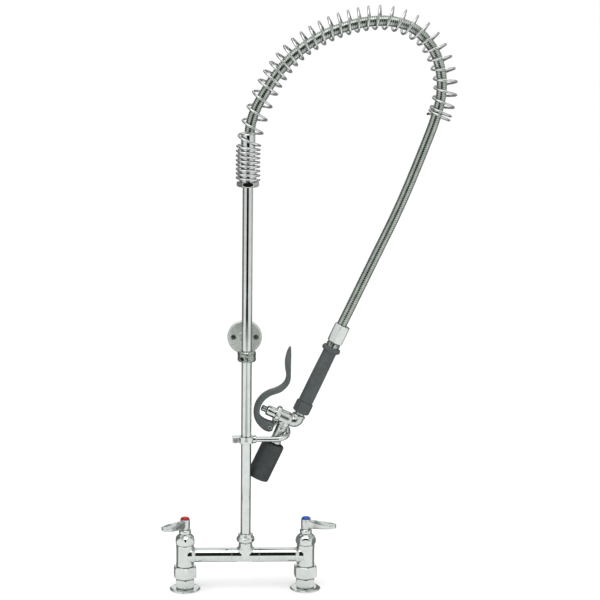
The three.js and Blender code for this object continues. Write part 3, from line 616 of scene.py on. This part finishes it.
CHROME = chrome()
CAST_CHROME = cast_chrome()
BLACKENED = blackened()
DARK_STEEL = dark_steel()
CAST_GREY = cast_grey()
SATIN = satin_plate()
SPRING_STEEL = spring_steel()
CONDUIT = conduit_steel()
BRASS = brass()
SCREW_STEEL = screw_steel()
BUMPER_RUBBER = rubber("bumper_rubber", (0.026, 0.031, 0.031), (0.050, 0.057, 0.057), 1300)
GRIP_RUBBER = rubber("grip_rubber", (0.056, 0.066, 0.067), (0.092, 0.104, 0.104), 1500)
SEAL_RUBBER = rubber("seal_rubber", (0.02, 0.02, 0.02), (0.05, 0.05, 0.05), 1800)
LEVER_COATING = lever_coating()
INDEX_RED = index_plastic("index_red", (0.26, 0.002, 0.003), (0.44, 0.006, 0.008))
INDEX_BLUE = index_plastic("index_blue", (0.006, 0.035, 0.26), (0.010, 0.080, 0.46))

SLOT_MATERIALS = {
    "chrome": CHROME, "cast_grey": CAST_GREY, "seal_rubber": SEAL_RUBBER, "brass": BRASS,
    "steel": SCREW_STEEL, "black_steel": BLACKENED, "spring_steel": SPRING_STEEL, "conduit": CONDUIT,
    "bumper_rubber": BUMPER_RUBBER, "grip_rubber": GRIP_RUBBER, "lever_coating": LEVER_COATING,
    "index_red": INDEX_RED, "index_blue": INDEX_BLUE,
}


def dress_cad_nodes():
    """The inner pieces stay the CAD's own; each gets its slot's material."""
    for entry in frame["record"]["subparts"]:
        node = frame["nodes"][entry["node"]]
        node.data.materials.clear()
        node.data.materials.append(SLOT_MATERIALS[entry["material_slot"]])


# ---- base ----

BLADE_ROOT = 3  # where the blade starts, from the hub's axis
BLADE_DEPTH = 15.2  # at the root
BLADE_TAPER = 0.18
DISH_DEPTH = 2.8
DISH_HALF_LENGTH = 19
DISH_CENTRE = LEVER_REACH - 21.5
DISH_HALF_WIDTH = LEVER_HALF_WIDTH - 2


def handle_blade(name):
    """A dished teardrop paddle along +X, level on top, its underside rising to the tip."""
    rings = []
    steps = 72
    top = HUB_TOP - 0.8
    for k in range(steps + 1):
        x = BLADE_ROOT + (LEVER_REACH - BLADE_ROOT) * math.sin(math.pi / 2 * k / steps)
        half = blade_half_width(x)
        thick = min(BLADE_DEPTH - BLADE_TAPER * (x - 8), 3 + 2.3 * half)
        ring = []
        for a in full_turn(64):
            c, s = math.cos(a), math.sin(a)
            y = half * math.copysign(abs(c) ** 0.55, c)
            if s >= 0:
                z = -thick / 2 + thick / 2 * s ** 0.35
                reach = ((x - DISH_CENTRE) / DISH_HALF_LENGTH) ** 2 + (y / DISH_HALF_WIDTH) ** 2
                z -= DISH_DEPTH * max(0, 1 - reach) ** 0.8 * s ** 0.3
            else:
                z = -thick / 2 - thick / 2 * (-s) ** 0.75
            ring.append((x, y, top + z))
        rings.append(ring)
    return loft(name, rings, sharp_angle=40)


def blade_half_width(x):
    """Half the blade's width at x from the hub's axis."""
    tip = LEVER_REACH - LEVER_HALF_WIDTH
    if x > tip:
        return max(0.5, math.sqrt(max(0, LEVER_HALF_WIDTH ** 2 - (x - tip) ** 2)))
    t = min(1, max(0, (x - 9) / (tip - 16)))
    root = 5.4
    return root + (LEVER_HALF_WIDTH - root) * t * t * (3 - 2 * t)


def inlet_leg(side, sign):
    leg = shift(sign * INLET_SPACING / 2, 0, 0)
    flange = turned(f"{side}_flange_plate", [
        (10.8, 0), (25.7, 0), (25.7, 1.2), (23.4, 2.4), (18.5, 3), (10.8, 3),
    ], 0.5, closed=True)
    fit(flange, f"{side}_deck_flange", CHROME, leg)
    fit(hex_nut(f"{side}_lower_nut", 30, 3.3, 19, 10.8), f"{side}_lock_nut", CHROME, leg)
    fit(hex_nut(f"{side}_union_nut", 36, 21, 41, 12.4), f"{side}_coupling_nut", CHROME, leg @ turn(8, "Z"))

    column = turned(f"{side}_body_casting", [
        (6, 28), (12.8, 28), (12.8, 34.4), (11.2, 36.6), (11.2, 41.3), (14.6, 41.3), (15, 42.2), (15, 46),
        (14.7, 48), (14.7, 71), (15, 73), (15, COLUMN_TOP), (10.6, COLUMN_TOP), (10.6, 51), (6, 51),
    ], 0.8, closed=True)
    port = turned(f"{side}_port", [
        (8.5, 4), (15.4, 4), (14.9, 11.8), (13.2, 14.6), (12.04, 16.6), (12.04, BODY_HALF + 0.28),
        (8.5, BODY_HALF + 0.28),
    ], 0.6, closed=True)
    moved(port, shift(0, 0, CROSSBAR_Z) @ turn(-sign * 90, "Y"))
    join_into(column, port)
    fit(column, f"{side}_valve_body", CHROME, leg)

    fit(bonnet(f"{side}_domed_nut"), f"{side}_bonnet", CHROME, leg @ turn(BONNET_TURNS[side], "Z"))
    packing_nut = turned(f"{side}_gland_nut", [
        (4.5, BONNET_TOP + 0.3), (9.6, BONNET_TOP + 0.3), (10.3, BONNET_TOP + 1.2), (10.3, PACKING_TOP - 2.2),
        (8.8, PACKING_TOP), (4.5, PACKING_TOP),
    ], 0.5, closed=True)
    fit(packing_nut, f"{side}_packing_nut", CHROME, leg)

    handle = handle_blade(f"{side}_handle")
    hub = turned(f"{side}_hub", [
        (4.5, PACKING_TOP + 0.5), (HUB_R - 0.6, PACKING_TOP + 0.5), (HUB_R, PACKING_TOP + 1.3),
        (HUB_R + 0.3, HUB_TOP - 8), (HUB_R, HUB_TOP - 0.6), (HUB_R - 0.6, HUB_TOP), (6.6, HUB_TOP),
        (6.6, HUB_TOP - 3.5), (4.5, HUB_TOP - 4.2),
    ], 0.6, closed=True)
    join_into(handle, hub)
    fit(handle, f"{side}_lever_handle", CAST_CHROME, leg @ turn(HANDLE_ANGLES[side], "Z"))
    button = turned(f"{side}_index", [
        (0, HUB_TOP - 1), (6.2, HUB_TOP - 1), (6.2, HUB_TOP + 0.3), (7.4, HUB_TOP + 0.3),
        (7.7, HUB_TOP + 1.2), (6.2, HUB_TOP + 2.9), (3.4, HUB_TOP + 3.8), (0, HUB_TOP + 4.1),
    ], 0.9)
    fit(button, f"{side}_index_button", INDEX_RED if side == "hot" else INDEX_BLUE, leg)


def bonnet(name):
    """A hexagon whose top is turned to a dome, with a collar under the gland nut."""
    flats, bore = 31.5, 5
    angles = full_turn(144)
    dome = rounded([
        (14.8, COLUMN_TOP + 0.3), (17, COLUMN_TOP + 2.4), (17.8, COLUMN_TOP + 5.4), (17.3, COLUMN_TOP + 9.5),
        (15.6, COLUMN_TOP + 13), (12.9, COLUMN_TOP + 16), (10, BONNET_TOP - 1), (9.7, BONNET_TOP),
    ], 2.2, steps=6)
    rings = [circle_ring(angles, bore, COLUMN_TOP + 0.3)]
    rings += [hexagon_ring(angles, flats, limit, z) for limit, z in dome]
    rings.append(circle_ring(angles, bore, BONNET_TOP))
    return loft(name, rings, loop=True, sharp_angle=40)


def join_into(piece, *others):
    """Merges other meshes into piece's mesh."""
    bm = bmesh.new()
    bm.from_mesh(piece.data)
    for other in others:
        bm.from_mesh(other.data)
    bm.to_mesh(piece.data)
    bm.free()
    for other in others:
        bpy.data.objects.remove(other)
    return piece


def crossbar_and_tee():
    inner = TEE_HALF + 0.3
    outer = INLET_SPACING / 2 - BODY_HALF - 0.3
    for node, sign in (("hot_crossbar_tube", -1), ("cold_crossbar_tube", 1)):
        wall = [(8.5, inner), (12, inner), (12, outer), (8.5, outer)]
        tube = turned(node + "_skin", wall, 0.05, closed=True)
        fit(tube, node, CHROME, shift(0, 0, CROSSBAR_Z) @ turn(sign * 90, "Y"))
    reach = inner - 0.02
    run = turned("tee_run", [(0, -reach), (12.04, -reach), (12.04, reach), (0, reach)], 0.1)
    moved(run, shift(0, 0, CROSSBAR_Z) @ turn(90, "Y"))
    saddle = [  # height over the run's axis, half length along it, half depth across it
        (-11, 7, 6), (-8, 12, 10.6), (-3, 14.4, 12.6), (3, 15.6, 12.7), (8, 16.2, 12.6), (11.2, 14.8, 12.4),
        (13.6, 12.6, 12.2), (16.5, TEE_NECK_R, 12), (TEE_NECK_TOP - CROSSBAR_Z, TEE_NECK_R, 11.8),
    ]
    fine, _ = smooth_route([(a, b, z) for z, a, b in saddle], 60)
    neck = loft("tee_neck", [
        [(a * math.cos(t), b * math.sin(t), CROSSBAR_Z + z) for t in full_turn(96)] for a, b, z in fine
    ])
    fit(fused(join_into(run, neck), 0.4, 14), "outlet_tee", CHROME)
    top = SWIVEL_NUT_TOP
    nut = turned("swivel_collar", [
        (8.85, top), (11.6, top), (12.3, top - 0.8), (12.6, top - 5.6), (14.6, top - 6.6), (15.2, top - 7.6),
        (15.2, top - 11.4), (14.5, top - 12.4), (12.6, TEE_NECK_TOP + 0.9), (12, TEE_NECK_TOP + 0.3),
        (11.6, TEE_NECK_TOP + 0.3), (11.6, RISER_BOTTOM + 1), (8.85, RISER_BOTTOM + 2),
    ], 0.5, closed=True)
    fit(nut, "swivel_nut", CHROME)
    fit(
        socket_screw("swivel_grub", 2.2, 2.6), "swivel_set_screw", BLACKENED,
        turn(SWIVEL_SCREW_ANGLE, "Z") @ shift(13.4, 0, SWIVEL_SCREW_Z) @ turn(90, "Y"))


def socket_screw(name, radius, length):
    """A headless screw along +Z with a hexagonal socket in its end."""
    screw = turned(name, [(0, 0), (radius, 0), (radius, length), (0, length)], 0.3, 32)
    socket = hex_prism(name + "_socket", radius * 1.1, length - 0.9, length + 1)
    shape_with(screw, socket, "DIFFERENCE")
    reshade(screw)
    return screw


def hex_prism(name, flats, low, high):
    """A sharp hexagonal bar about Z, the tool that cuts a socket."""
    corner = flats / math.sqrt(3)
    return loft(name, [circle_ring(full_turn(6), corner, z) for z in (low, high)])


def riser():
    pipe = turned("riser_tube", [
        (6.3, RISER_BOTTOM), (RISER_R, RISER_BOTTOM), (RISER_R, RISER_TOP), (6.3, RISER_TOP),
    ], 0.3, 128, closed=True)
    fit(pipe, "riser_pipe", CHROME)


# ---- wall bracket ----


def wall_bracket():
    at = shift(0, 0, BRACKET_Z)
    ring = turned("bracket_collar", [
        (9.05, -BRACKET_HALF), (BRACKET_R - 2, -BRACKET_HALF), (BRACKET_R, -BRACKET_HALF + 2.2),
        (BRACKET_R - 0.5, 0), (BRACKET_R, BRACKET_HALF - 2.2), (BRACKET_R - 2, BRACKET_HALF),
        (9.05, BRACKET_HALF),
    ], 1.2, closed=True)
    front_left = shift(0, 0, -2.5) @ turn(-32, "Z")
    hole = turned("hole", [(0, 8), (2.8, 8), (2.8, 13.6), (3.6, 15.6), (3.6, 22), (0, 22)], 0.1, 32)
    shape_with(ring, moved(hole, front_left @ turn(90, "X")), "DIFFERENCE")
    seat = turned("seat", [(0, 12), (7.3, 12), (7.3, 30), (0, 30)], 0.1, 64)
    shape_with(ring, moved(seat, turn(-90, "X")), "DIFFERENCE")
    reshade(ring)
    fit(ring, "bracket_ring", CAST_GREY, at)
    screw = socket_screw("bracket_grub", 2.5, 4.2)
    fit(screw, "bracket_set_screw", BLACKENED, at @ front_left @ turn(90, "X") @ shift(0, 0, 9.2))
    front = WALL_Y - 5
    rod = turned("bracket_arm", [(0, 12.4), (7, 12.4), (7, front - 8.3), (0, front - 8.3)], 0.6)
    fit(rod, "bracket_rod", SATIN, at @ turn(-90, "X"))
    disc = turned("wall_plate", [
        (0, 0), (9.5, 0), (9.5, 6.5), (11, 8), (27.5, 9), (30, 11), (30, 13), (0, 13),
    ], 1)
    moved(disc, shift(0, front - 8, 0) @ turn(-90, "X"))
    for sign in (-1, 1):
        sink = turned("sink", [(0, -2), (4.7, -2), (4.7, 1.2), (2.8, 3.4), (2.8, 8), (0, 8)], 0.1, 48)
        moved(sink, shift(sign * WALL_SCREW_SPACING / 2, front, 0) @ turn(-90, "X"))
        shape_with(disc, sink, "DIFFERENCE")
    reshade(disc)
    fit(disc, "wall_flange", SATIN, at)
    for side, sign in (("hot", -1), ("cold", 1)):
        head = turned(f"{side}_wall_screw_skin", [
            (0, 0.4), (3.4, 0.9), (4.3, 1.4), (2.3, 3.4), (2.3, 5), (0, 5),
        ], 0.2, 48)
        for blade in (box_mesh("cross", (-2.6, -0.55, -1), (2.6, 0.55, 2), 0.05),
                      box_mesh("cross", (-0.55, -2.6, -1), (0.55, 2.6, 2), 0.05)):
            shape_with(head, blade, "DIFFERENCE")
        reshade(head)
        place = at @ shift(sign * WALL_SCREW_SPACING / 2, front, 0) @ turn(-90, "X")
        fit(head, f"{side}_side_wall_screw", DARK_STEEL, place)


# ---- finger hook ----


def finger_hook():
    at = shift(0, 0, HOOK_Z)
    half = 5.5
    clamp = turned("clamp", [(0, -half), (13, -half), (13, half), (0, half)], 0.9)
    lugs = box_mesh("lugs", (-23, -6, -half), (-6, 6, half), 1.6)
    shape_with(clamp, lugs, "UNION")
    boss = moved(turned("boss", [(0, 6), (6.6, 6), (6.6, 16), (5.6, 17), (0, 17)], 0.5, 64), turn(90, "Y"))
    shape_with(clamp, boss, "UNION")
    across = shift(-17.5, 0, 0) @ turn(90, "X")
    tools = [
        box_mesh("slit", (-30, -0.8, -9), (-8, 0.8, 9), 0.1),
        turned("bore", [(0, -9), (RISER_R + 0.3, -9), (RISER_R + 0.3, 9), (0, 9)], 0.1),
        moved(turned("drill", [(0, -12), (2.5, -12), (2.5, 12), (0, 12)], 0.1, 32), across),
        moved(turned("seat", [(0, 11), (4.6, 11), (4.6, 20), (0, 20)], 0.1, 48), turn(90, "Y")),
    ]
    for tool in tools:
        shape_with(clamp, tool, "DIFFERENCE")
    reshade(clamp)
    fit(clamp, "hook_clamp", CHROME, at)
    screw = turned("clamp_bolt", [
        (0, -8.2), (2.2, -8.2), (2.2, 6.3), (4.3, 6.3), (4.3, 8.8), (3.3, 9.6), (0, 9.6),
    ], 0.4, 48)
    slot_cut = box_mesh("slot", (-6, -0.5, 8.6), (6, 0.5, 12), 0.05)
    shape_with(screw, slot_cut, "DIFFERENCE")
    reshade(screw)
    fit(screw, "hook_clamp_screw", SCREW_STEEL, at @ across)
    line, _ = smooth_route([
        (11.4, 0, 0), (20, 0, 0), (34, 0, 0), (46, 0, 0), (55.5, 1, 0.3), (63, 4.5, 1.4), (68, 11, 2.8),
        (70.4, 20, 4.6), (70.9, 31, 7), (70.6, 42, 9.5),
    ], 90)
    radii = np.full(len(line), HOOK_ROD_R)
    radii[-8:] = [HOOK_ROD_R * math.sqrt(1 - (k / 8.4) ** 2) for k in range(1, 9)]  # its round tip
    fit(sweep("hook_rod", line, radii, 36, 0.3), "finger_hook", CHROME, at)


# ---- spring arch and hose ----

POINTS_PER_TURN = 44
SPRING_COVER = 0.997  # share of the route that the spring fills


def arch_spring():
    """The coil's turns are laid stretch by stretch: close, opening, even, wider, close."""
    fine, length = smooth_route(SPRING_ROUTE, 3000)
    tangents = np.gradient(fine, axis=0)
    tangents /= np.linalg.norm(tangents, axis=1)[:, None]
    turns = sum(t for t, _ in SPRING_STRETCHES)
    tight = SPRING_STRETCHES[0][0] * SPRING_STRETCHES[0][1]
    open_length = sum(t * p for t, p in SPRING_STRETCHES[1:])
    stretch = (length * SPRING_COVER - tight) / open_length
    knots_turn, knots_along = [0], [SPRING_WIRE_R + 0.3]
    for i, (count, pitch) in enumerate(SPRING_STRETCHES):
        knots_turn.append(knots_turn[-1] + count)
        start = 0 if i == 0 else knots_along[-1]
        knots_along.append(start + count * pitch * (1 if i == 0 else stretch))
    samples = int(turns * POINTS_PER_TURN)
    line = []
    for k in range(samples + 1):
        turn_number = turns * k / samples
        along = np.interp(turn_number, knots_turn, knots_along) / length * (len(fine) - 1)
        low = min(int(along), len(fine) - 2)
        point = fine[low] + (fine[low + 1] - fine[low]) * (along - low)
        tangent = tangents[low]
        side = np.array((0.0, 1.0, 0.0)) - tangent * tangent[1]
        side /= np.linalg.norm(side)
        out = np.cross(side, tangent)
        angle = -TAU * turn_number
        line.append(point + SPRING_R * (math.cos(angle) * out + math.sin(angle) * side))
    wire = sweep("spring_wire", line, SPRING_WIRE_R, 14, 0.5)
    fit(wire, "arch_spring", SPRING_STEEL)
    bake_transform(wire)


def hose():
    """Interlocked strip conduit: raised turns with a narrow groove between them."""
    pitch = 3.6
    groove = 0.62
    rise = [0, 0.5, 0.58, 0.62, 0.62, 0.62, 0.62, 0.58, 0.5, 0]
    per_turn = len(rise)
    length = smooth_route(HOSE_ROUTE, 10)[1] / MM
    samples = int(length / pitch * per_turn)
    line, _ = smooth_route(np.array(HOSE_ROUTE) / MM, samples + 1)
    radii = [HOSE_R - groove + rise[k % per_turn] for k in range(samples + 1)]
    skin = sweep("hose_strip", line, radii, 40, 0.6)
    reshade(skin, 26)
    fit(skin, "hose_conduit", CONDUIT)
    path, real = smooth_route(HOSE_ROUTE, 200)
    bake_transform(skin)


def spring_adapter_and_sleeve():
    seat = hex_nut("spring_seat", 32.5, SEAT_BOTTOM, SEAT_TOP, 8.85)
    moved(seat, turn(30, "Z"))
    plug = turned("spring_plug", [
        (6.3, SEAT_TOP - 1), (14, SEAT_TOP - 1), (14, 711), (13, 712), (6.3, 712),
    ], 0.4, closed=True)
    fit(join_into(seat, plug), "spring_adapter", CHROME)
    sleeve = turned("hose_ferrule", [
        (6.3, 712.3), (11.2, 712.3), (11.6, 713), (11.6, 769), (10.6, 770.8), (6.3, 770.8),
    ], 0.5, closed=True)
    fit(sleeve, "hose_sleeve", CHROME)


# ---- spray valve ----


def spray_handle():
    tube = turned("handle_core", [
        (6, -4), (8.4, -4), (8.4, 119), (11, 119), (11, 130.5), (8, 131.4), (6, 131.4),
    ], 0.5, closed=True)
    collar = moved(hex_nut("handle_collar", 20.6, 123.8, 131.2, 8.2), turn(30, "Z"))
    fit(join_into(tube, collar), "handle_tube", CONDUIT, VALVE)
    nut = hex_nut("hose_end_nut", FERRULE_NUT_ACROSS, FERRULE_NUT_BOTTOM, FERRULE_NUT_TOP, 6.5)
    fit(nut, "hose_ferrule_nut", CHROME, VALVE @ turn(FERRULE_NUT_TURN, "Z"))
    grip = turned("grip", [
        (8.8, 19.9), (11.6, 19.9), (12.3, 21.2), (12.3, 58), (12.0, 85), (11.7, 104), (11.7, 113.4),
        (12.6, 115), (15, 115.8), (16, 117.6), (16, 119.8), (15.2, 122.2), (14, 123.4), (11.3, 123.4),
        (11.3, 118.6), (8.8, 118.6),
    ], 0.7, 128, closed=True)
    fit(grip, "grip_sleeve", GRIP_RUBBER, VALVE)
    fit(hex_nut("grip_hexagon", 26, 0, 19.6, 8.8), "grip_collar", GRIP_RUBBER, VALVE @ turn(30, "Z"))


def spray_body():
    route, _ = smooth_route([
        (0, 0, -4.8), (0, 0, -7), (0.6, 0, -10.5), (0.5, 0, -14), (-2, 0, -17.8), (-8, 0, -19.4),
        (-18, 0, STEM_Z),
    ], 40)
    body = sweep("spray_casting", route, 10.2, 64, 0.4)
    shoulder = turned("shoulder", [(0, -8.8), (11, -8.8), (11.5, -8), (11.5, -4.8), (0, -4.8)], 0.5)
    chamber = moved(turned("chamber", [
        (0, 8), (9, 8), (11.4, 10.6), (12, 13), (12, 29.2), (0, 29.2),
    ], 0.9), shift(0, 0, STEM_Z) @ turn(-90, "Y"))
    spout = moved(turned("spout", [
        (0, 0), (10.8, 0), (10.6, -12), (9.6, -13.2), (9.6, -16.5), (0, -16.5),
    ], 0.5), shift(OUTLET_X, 0, STEM_Z))
    join_into(body, shoulder, chamber, spout, lug_plate("ear"))
    fit(fused(body, 0.36, 6), "spray_valve_body", CAST_CHROME, VALVE)

    hexagon = hex_nut("bonnet_hexagon", 28, 29.5, 37.2, 7)
    barrel = turned("barrel", [
        (5.7, 36.4), (8.7, 36.4), (8.7, 50.8), (8.2, 52.2), (7.4, 53), (6, 53), (5.7, 52.6),
    ], 0.5, closed=True)
    spigot = turned("spigot", [(5.6, 22), (6.9, 22), (6.9, 30), (5.6, 30)], 0.2, closed=True)
    fit(join_into(hexagon, barrel, spigot), "spray_bonnet", CHROME, STEM)
    plunger = turned("plunger", [
        (0, 13.6), (5.8, 13.6), (5.8, 16.4), (5.2, 16.6), (5.2, 19), (3.1, 20), (3.1, 53.4),
        (5.2, 53.8), (5.2, 56.6), (4.5, 57.2), (5.2, 57.8), (5.2, 60.8), (4.2, 62.3), (0, 63),
    ], 0.4, 64)
    fit(plunger, "plunger_stem", CONDUIT, STEM)


def lug_plate(name):
    """The ear under the valve body that carries the lever's pivot."""
    radius, start, sweep_angle, steps = 4.8, -0.42, -3.98, 16
    outline = [(-22, -27), (-22, -35.9), (-27, -35.9), (-32.2, -45.5)]
    for k in range(steps + 1):
        angle = start + sweep_angle * k / steps
        outline.append((PIVOT[0] + radius * math.cos(angle), PIVOT[1] + radius * math.sin(angle)))
    outline += [(-31, -34.6), (-28.4, -33.4), (-28.4, -27)]
    return loft(name, [[(x, y, z) for x, z in outline] for y in (-3, 3)])


# The squeeze lever's two edges, x and z in the valve's frame, from the tip to the pivot end.
LEVER_OUTER = [
    (-64.7, 91.3), (-64.8, 83), (-63.4, 75.9), (-61.7, 69.2), (-55.1, 56.6), (-48.9, 47.1), (-47, 38.4),
    (-49, 29.6), (-55.4, 20.4), (-64.9, 11.3), (-71.9, 0.2), (-75.2, -12.3), (-74.3, -24.4), (-69.8, -36),
    (-62, -44.6), (-52.3, -50), (-42, -52.8), (-34.5, -52), (-31.2, -49.4),
]
LEVER_INNER = [
    (-61.4, 92.8), (-56.9, 84), (-51.5, 72), (-44.5, 56.4), (-40.3, 47.2), (-38.4, 39), (-39.6, 30),
    (-45, 18.2), (-57.3, 6), (-63, -3.9), (-64.9, -13), (-64.2, -22.3), (-61.3, -30), (-57, -33.8),
    (-50, -35.2), (-42.5, -35.2), (-36, -34.4), (-32.4, -35),
]


def squeeze_lever():
    samples, stride = 150, 8
    outer, inner = (
        smooth_route([(x, 0, z) for x, z in edge], samples * stride)[0][::stride]
        for edge in (LEVER_OUTER, LEVER_INNER)
    )
    rings = [lever_section((o + i) / 2, (o - i) / 2) for o, i in zip(outer, inner)]
    middle = (outer + inner) / 2
    rings = round_off(rings[0], middle[0], middle[0] - middle[2], 2.2)[::-1] + rings
    rings += round_off(rings[-1], middle[-1], middle[-1] - middle[-3], 2.2, 0.2)
    lever = loft("lever_bow", rings, sharp_angle=60)
    slot_cut = box_mesh("fork", (-44.5, -3.6, -59), (-22.5, 3.6, -29), 0.4)
    shape_with(lever, slot_cut, "DIFFERENCE")
    reshade(lever, 50)
    fit(lever, "squeeze_lever", LEVER_COATING, VALVE)
    screw = turned("pivot_bolt", [
        (0, -10.3), (2.3, -10.3), (2.3, 10.3), (3.6, 10.3), (3.6, 11.4), (2.9, 12.2), (0, 12.2),
    ], 0.3, 48)
    shape_with(screw, hex_prism("pivot_socket", 3.8, 6, 14), "DIFFERENCE")
    reshade(screw)
    fit(screw, "lever_pivot_screw", SCREW_STEEL, VALVE @ shift(PIVOT[0], 0, PIVOT[1]) @ turn(90, "X"))


def lever_section(centre, half):
    """A soft rectangle across the lever, from its inner edge to its outer one."""
    ring = []
    for a in full_turn(56):
        c, s = math.cos(a), math.sin(a)
        along = math.copysign(abs(c) ** 0.5, c)
        y = LEVER_DEPTH / 2 * math.copysign(abs(s) ** 0.5, s)
        ring.append(centre + half * along + np.array((0, y, 0)))
    return ring


def round_off(ring, middle, direction, reach, shrink=1):
    """Rings that close a bar's end in a nose of the given reach."""
    ahead = direction / np.linalg.norm(direction)
    nose = []
    for k in range(1, 9):
        angle = math.pi / 2 * k / 8.4
        scale = 1 - shrink * (1 - math.cos(angle))
        nose.append([middle + (q - middle) * scale + ahead * reach * math.sin(angle) for q in ring])
    return nose


def spray_outlet():
    neck = turned("spray_neck", [
        (4.6, -36.4), (9.3, -36.4), (9.3, -40), (8.8, -44), (8.4, -58), (9.6, -60), (11, -61.6),
        (11, -65.7), (8, -65.7), (8, -96), (4.6, -96),
    ], 0.4, closed=True)
    fit(neck, "outlet_neck", CAST_CHROME, OUTLET)
    bumper = turned("bumper", [
        (8.4, -71), (14.4, -71), (14.9, -67), (15.6, -66.1), (17.6, -66.8), (18.8, -69), (19, -71.5),
        (19, -129.5), (18.6, -131.4), (17.2, -132), (16, -131.6), (15.5, -130.6), (15.5, -96), (8.4, -92),
    ], 0.7, 128, closed=True)
    fit(bumper, "spray_bumper", BUMPER_RUBBER, OUTLET)
    face = turned("rose", [
        (0, -98.4), (6, -96.6), (8.2, -105.5), (15, -108.2), (15, -110.8), (14, -111.6), (0, -112.6),
    ], 0.4)
    for circle, count in ((6.2, 8), (10.6, 14)):
        for a in full_turn(count):
            jet = turned("jet", [(0, -115), (0.7, -115), (0.7, -110), (0, -110)], 0.05, 12)
            moved(jet, shift(circle * math.cos(a), circle * math.sin(a), 0))
            shape_with(face, jet, "DIFFERENCE")
    reshade(face)
    fit(face, "spray_face", CHROME, OUTLET)
    screw = turned("rose_screw", [(0, -116.4), (2.6, -116), (3.6, -114.4), (3.6, -113), (0, -113)], 0.4, 48)
    fit(screw, "spray_face_screw", SCREW_STEEL, OUTLET)


# ---- studio: metres ----

CARD_BLACK = (0.002, 0.002, 0.002)
WALL_BEHIND = -3.5  # the studio wall behind the camera, along Y
CARD_LIFT = 0.004  # floor cards lie this far over the floor


def flat_material(name, color, roughness):
    s = Shader(name, color, 0, roughness)
    s.roughness(s.range(s.noise(4, 3), 0.3, 0.7, roughness - 0.05, roughness + 0.05))
    return s.material


def plane(name, low, high, material):
    """A rectangle between two corners that share one coordinate."""
    low, high = Vector(low), Vector(high)
    corners = [low.copy() for _ in range(4)]
    first, second = [i for i in range(3) if abs(high[i] - low[i]) > 1e-6]
    corners[1][first] = corners[2][first] = high[first]
    corners[2][second] = corners[3][second] = high[second]
    mesh = bpy.data.meshes.new(name)
    mesh.from_pydata([tuple(c) for c in corners], [], [(0, 1, 2, 3)])
    mesh.materials.append(material)
    piece = bpy.data.objects.new(name, mesh)
    bpy.context.scene.collection.objects.link(piece)
    return piece


def reflection_only(card):
    card.visible_camera = False
    card.visible_diffuse = False
    card.visible_shadow = False
    card.visible_transmission = False
    card.visible_volume_scatter = False


def soft_light(name, place, target, size, power):
    data = bpy.data.lights.new(name, "AREA")
    data.shape = "RECTANGLE"
    data.size, data.size_y = size
    data.energy = power
    light = bpy.data.objects.new(name, data)
    light.location = place
    direction = Vector(target) - Vector(place)
    light.rotation_euler = direction.to_track_quat("-Z", "Y").to_euler()
    bpy.context.scene.collection.objects.link(light)


def faded_black():
    """Black that lightens towards the object, along Y in the card's own coordinates."""
    s = Shader("card_faded", CARD_BLACK, 0, 0.9)
    split = s.tree.nodes.new("ShaderNodeSeparateXYZ")
    s.link(s.coordinates.outputs["Object"], split.inputs["Vector"])
    fade = s.range(split.outputs["Y"], -2.7, -1.85, 0, 1)
    s.color(s.color_mix(fade, CARD_BLACK, (0.55, 0.56, 0.55)))
    return s.material


def studio():
    """A white room; the cards are seen only in the plating's reflections."""
    bpy.context.scene.view_settings.view_transform = "Standard"
    world = bpy.data.worlds.new("world")
    bpy.context.scene.world = world
    world.use_nodes = True
    background = world.node_tree.nodes["Background"]
    background.inputs["Color"].default_value = (1, 1, 1, 1)
    background.inputs["Strength"].default_value = 1.05
    floor = flat_material("floor_white", (0.95, 0.95, 0.95), 0.9)
    plane("floor", (-90, -90, 0), (90, 90, 0), floor)
    black = flat_material("card_black", CARD_BLACK, 0.9)
    dark = flat_material("card_dark", (0.20, 0.21, 0.205), 0.9)
    grey = flat_material("card_grey", (0.5, 0.52, 0.51), 0.9)
    cards = (
        ("card_behind_camera", (-1.55, WALL_BEHIND, 0), (1.5, WALL_BEHIND, 4.3), black),
        ("card_on_floor", (-1.35, WALL_BEHIND, CARD_LIFT), (1.3, -1.8, CARD_LIFT), faded_black()),
        ("card_floor_middle", (-0.42, -1.8, CARD_LIFT), (0.42, -0.75, CARD_LIFT), grey),
        ("card_floor_left", (-2.4, 0.02, CARD_LIFT), (-0.012, 3, CARD_LIFT), dark),
        ("card_floor_right", (0.012, 0.02, CARD_LIFT), (2.4, 3, CARD_LIFT), dark),
        ("card_left", (-2.4, -0.3, 0), (-2.4, 3, 3), dark),
        ("card_back_left", (-2.4, 3, 0), (-0.5, 3, 3), dark),
        ("card_right", (2.4, 0.1, 0), (2.4, 3, 3), grey),
        ("card_back_right", (0.5, 3, 0), (2.4, 3, 3), dark),
    )
    for name, low, high, material in cards:
        reflection_only(plane(name, low, high, material))
    soft_light("overhead", (-0.5, -1.3, 3.6), (-0.5, -0.3, 0.4), (4, 2.6), 46)


make_camera()
hose()
arch_spring()
spring_adapter_and_sleeve()
dress_cad_nodes()
riser()
for leg_side, leg_sign in (("hot", -1), ("cold", 1)):
    inlet_leg(leg_side, leg_sign)
crossbar_and_tee()
wall_bracket()
finger_hook()
spray_handle()
spray_body()
squeeze_lever()
spray_outlet()
studio()
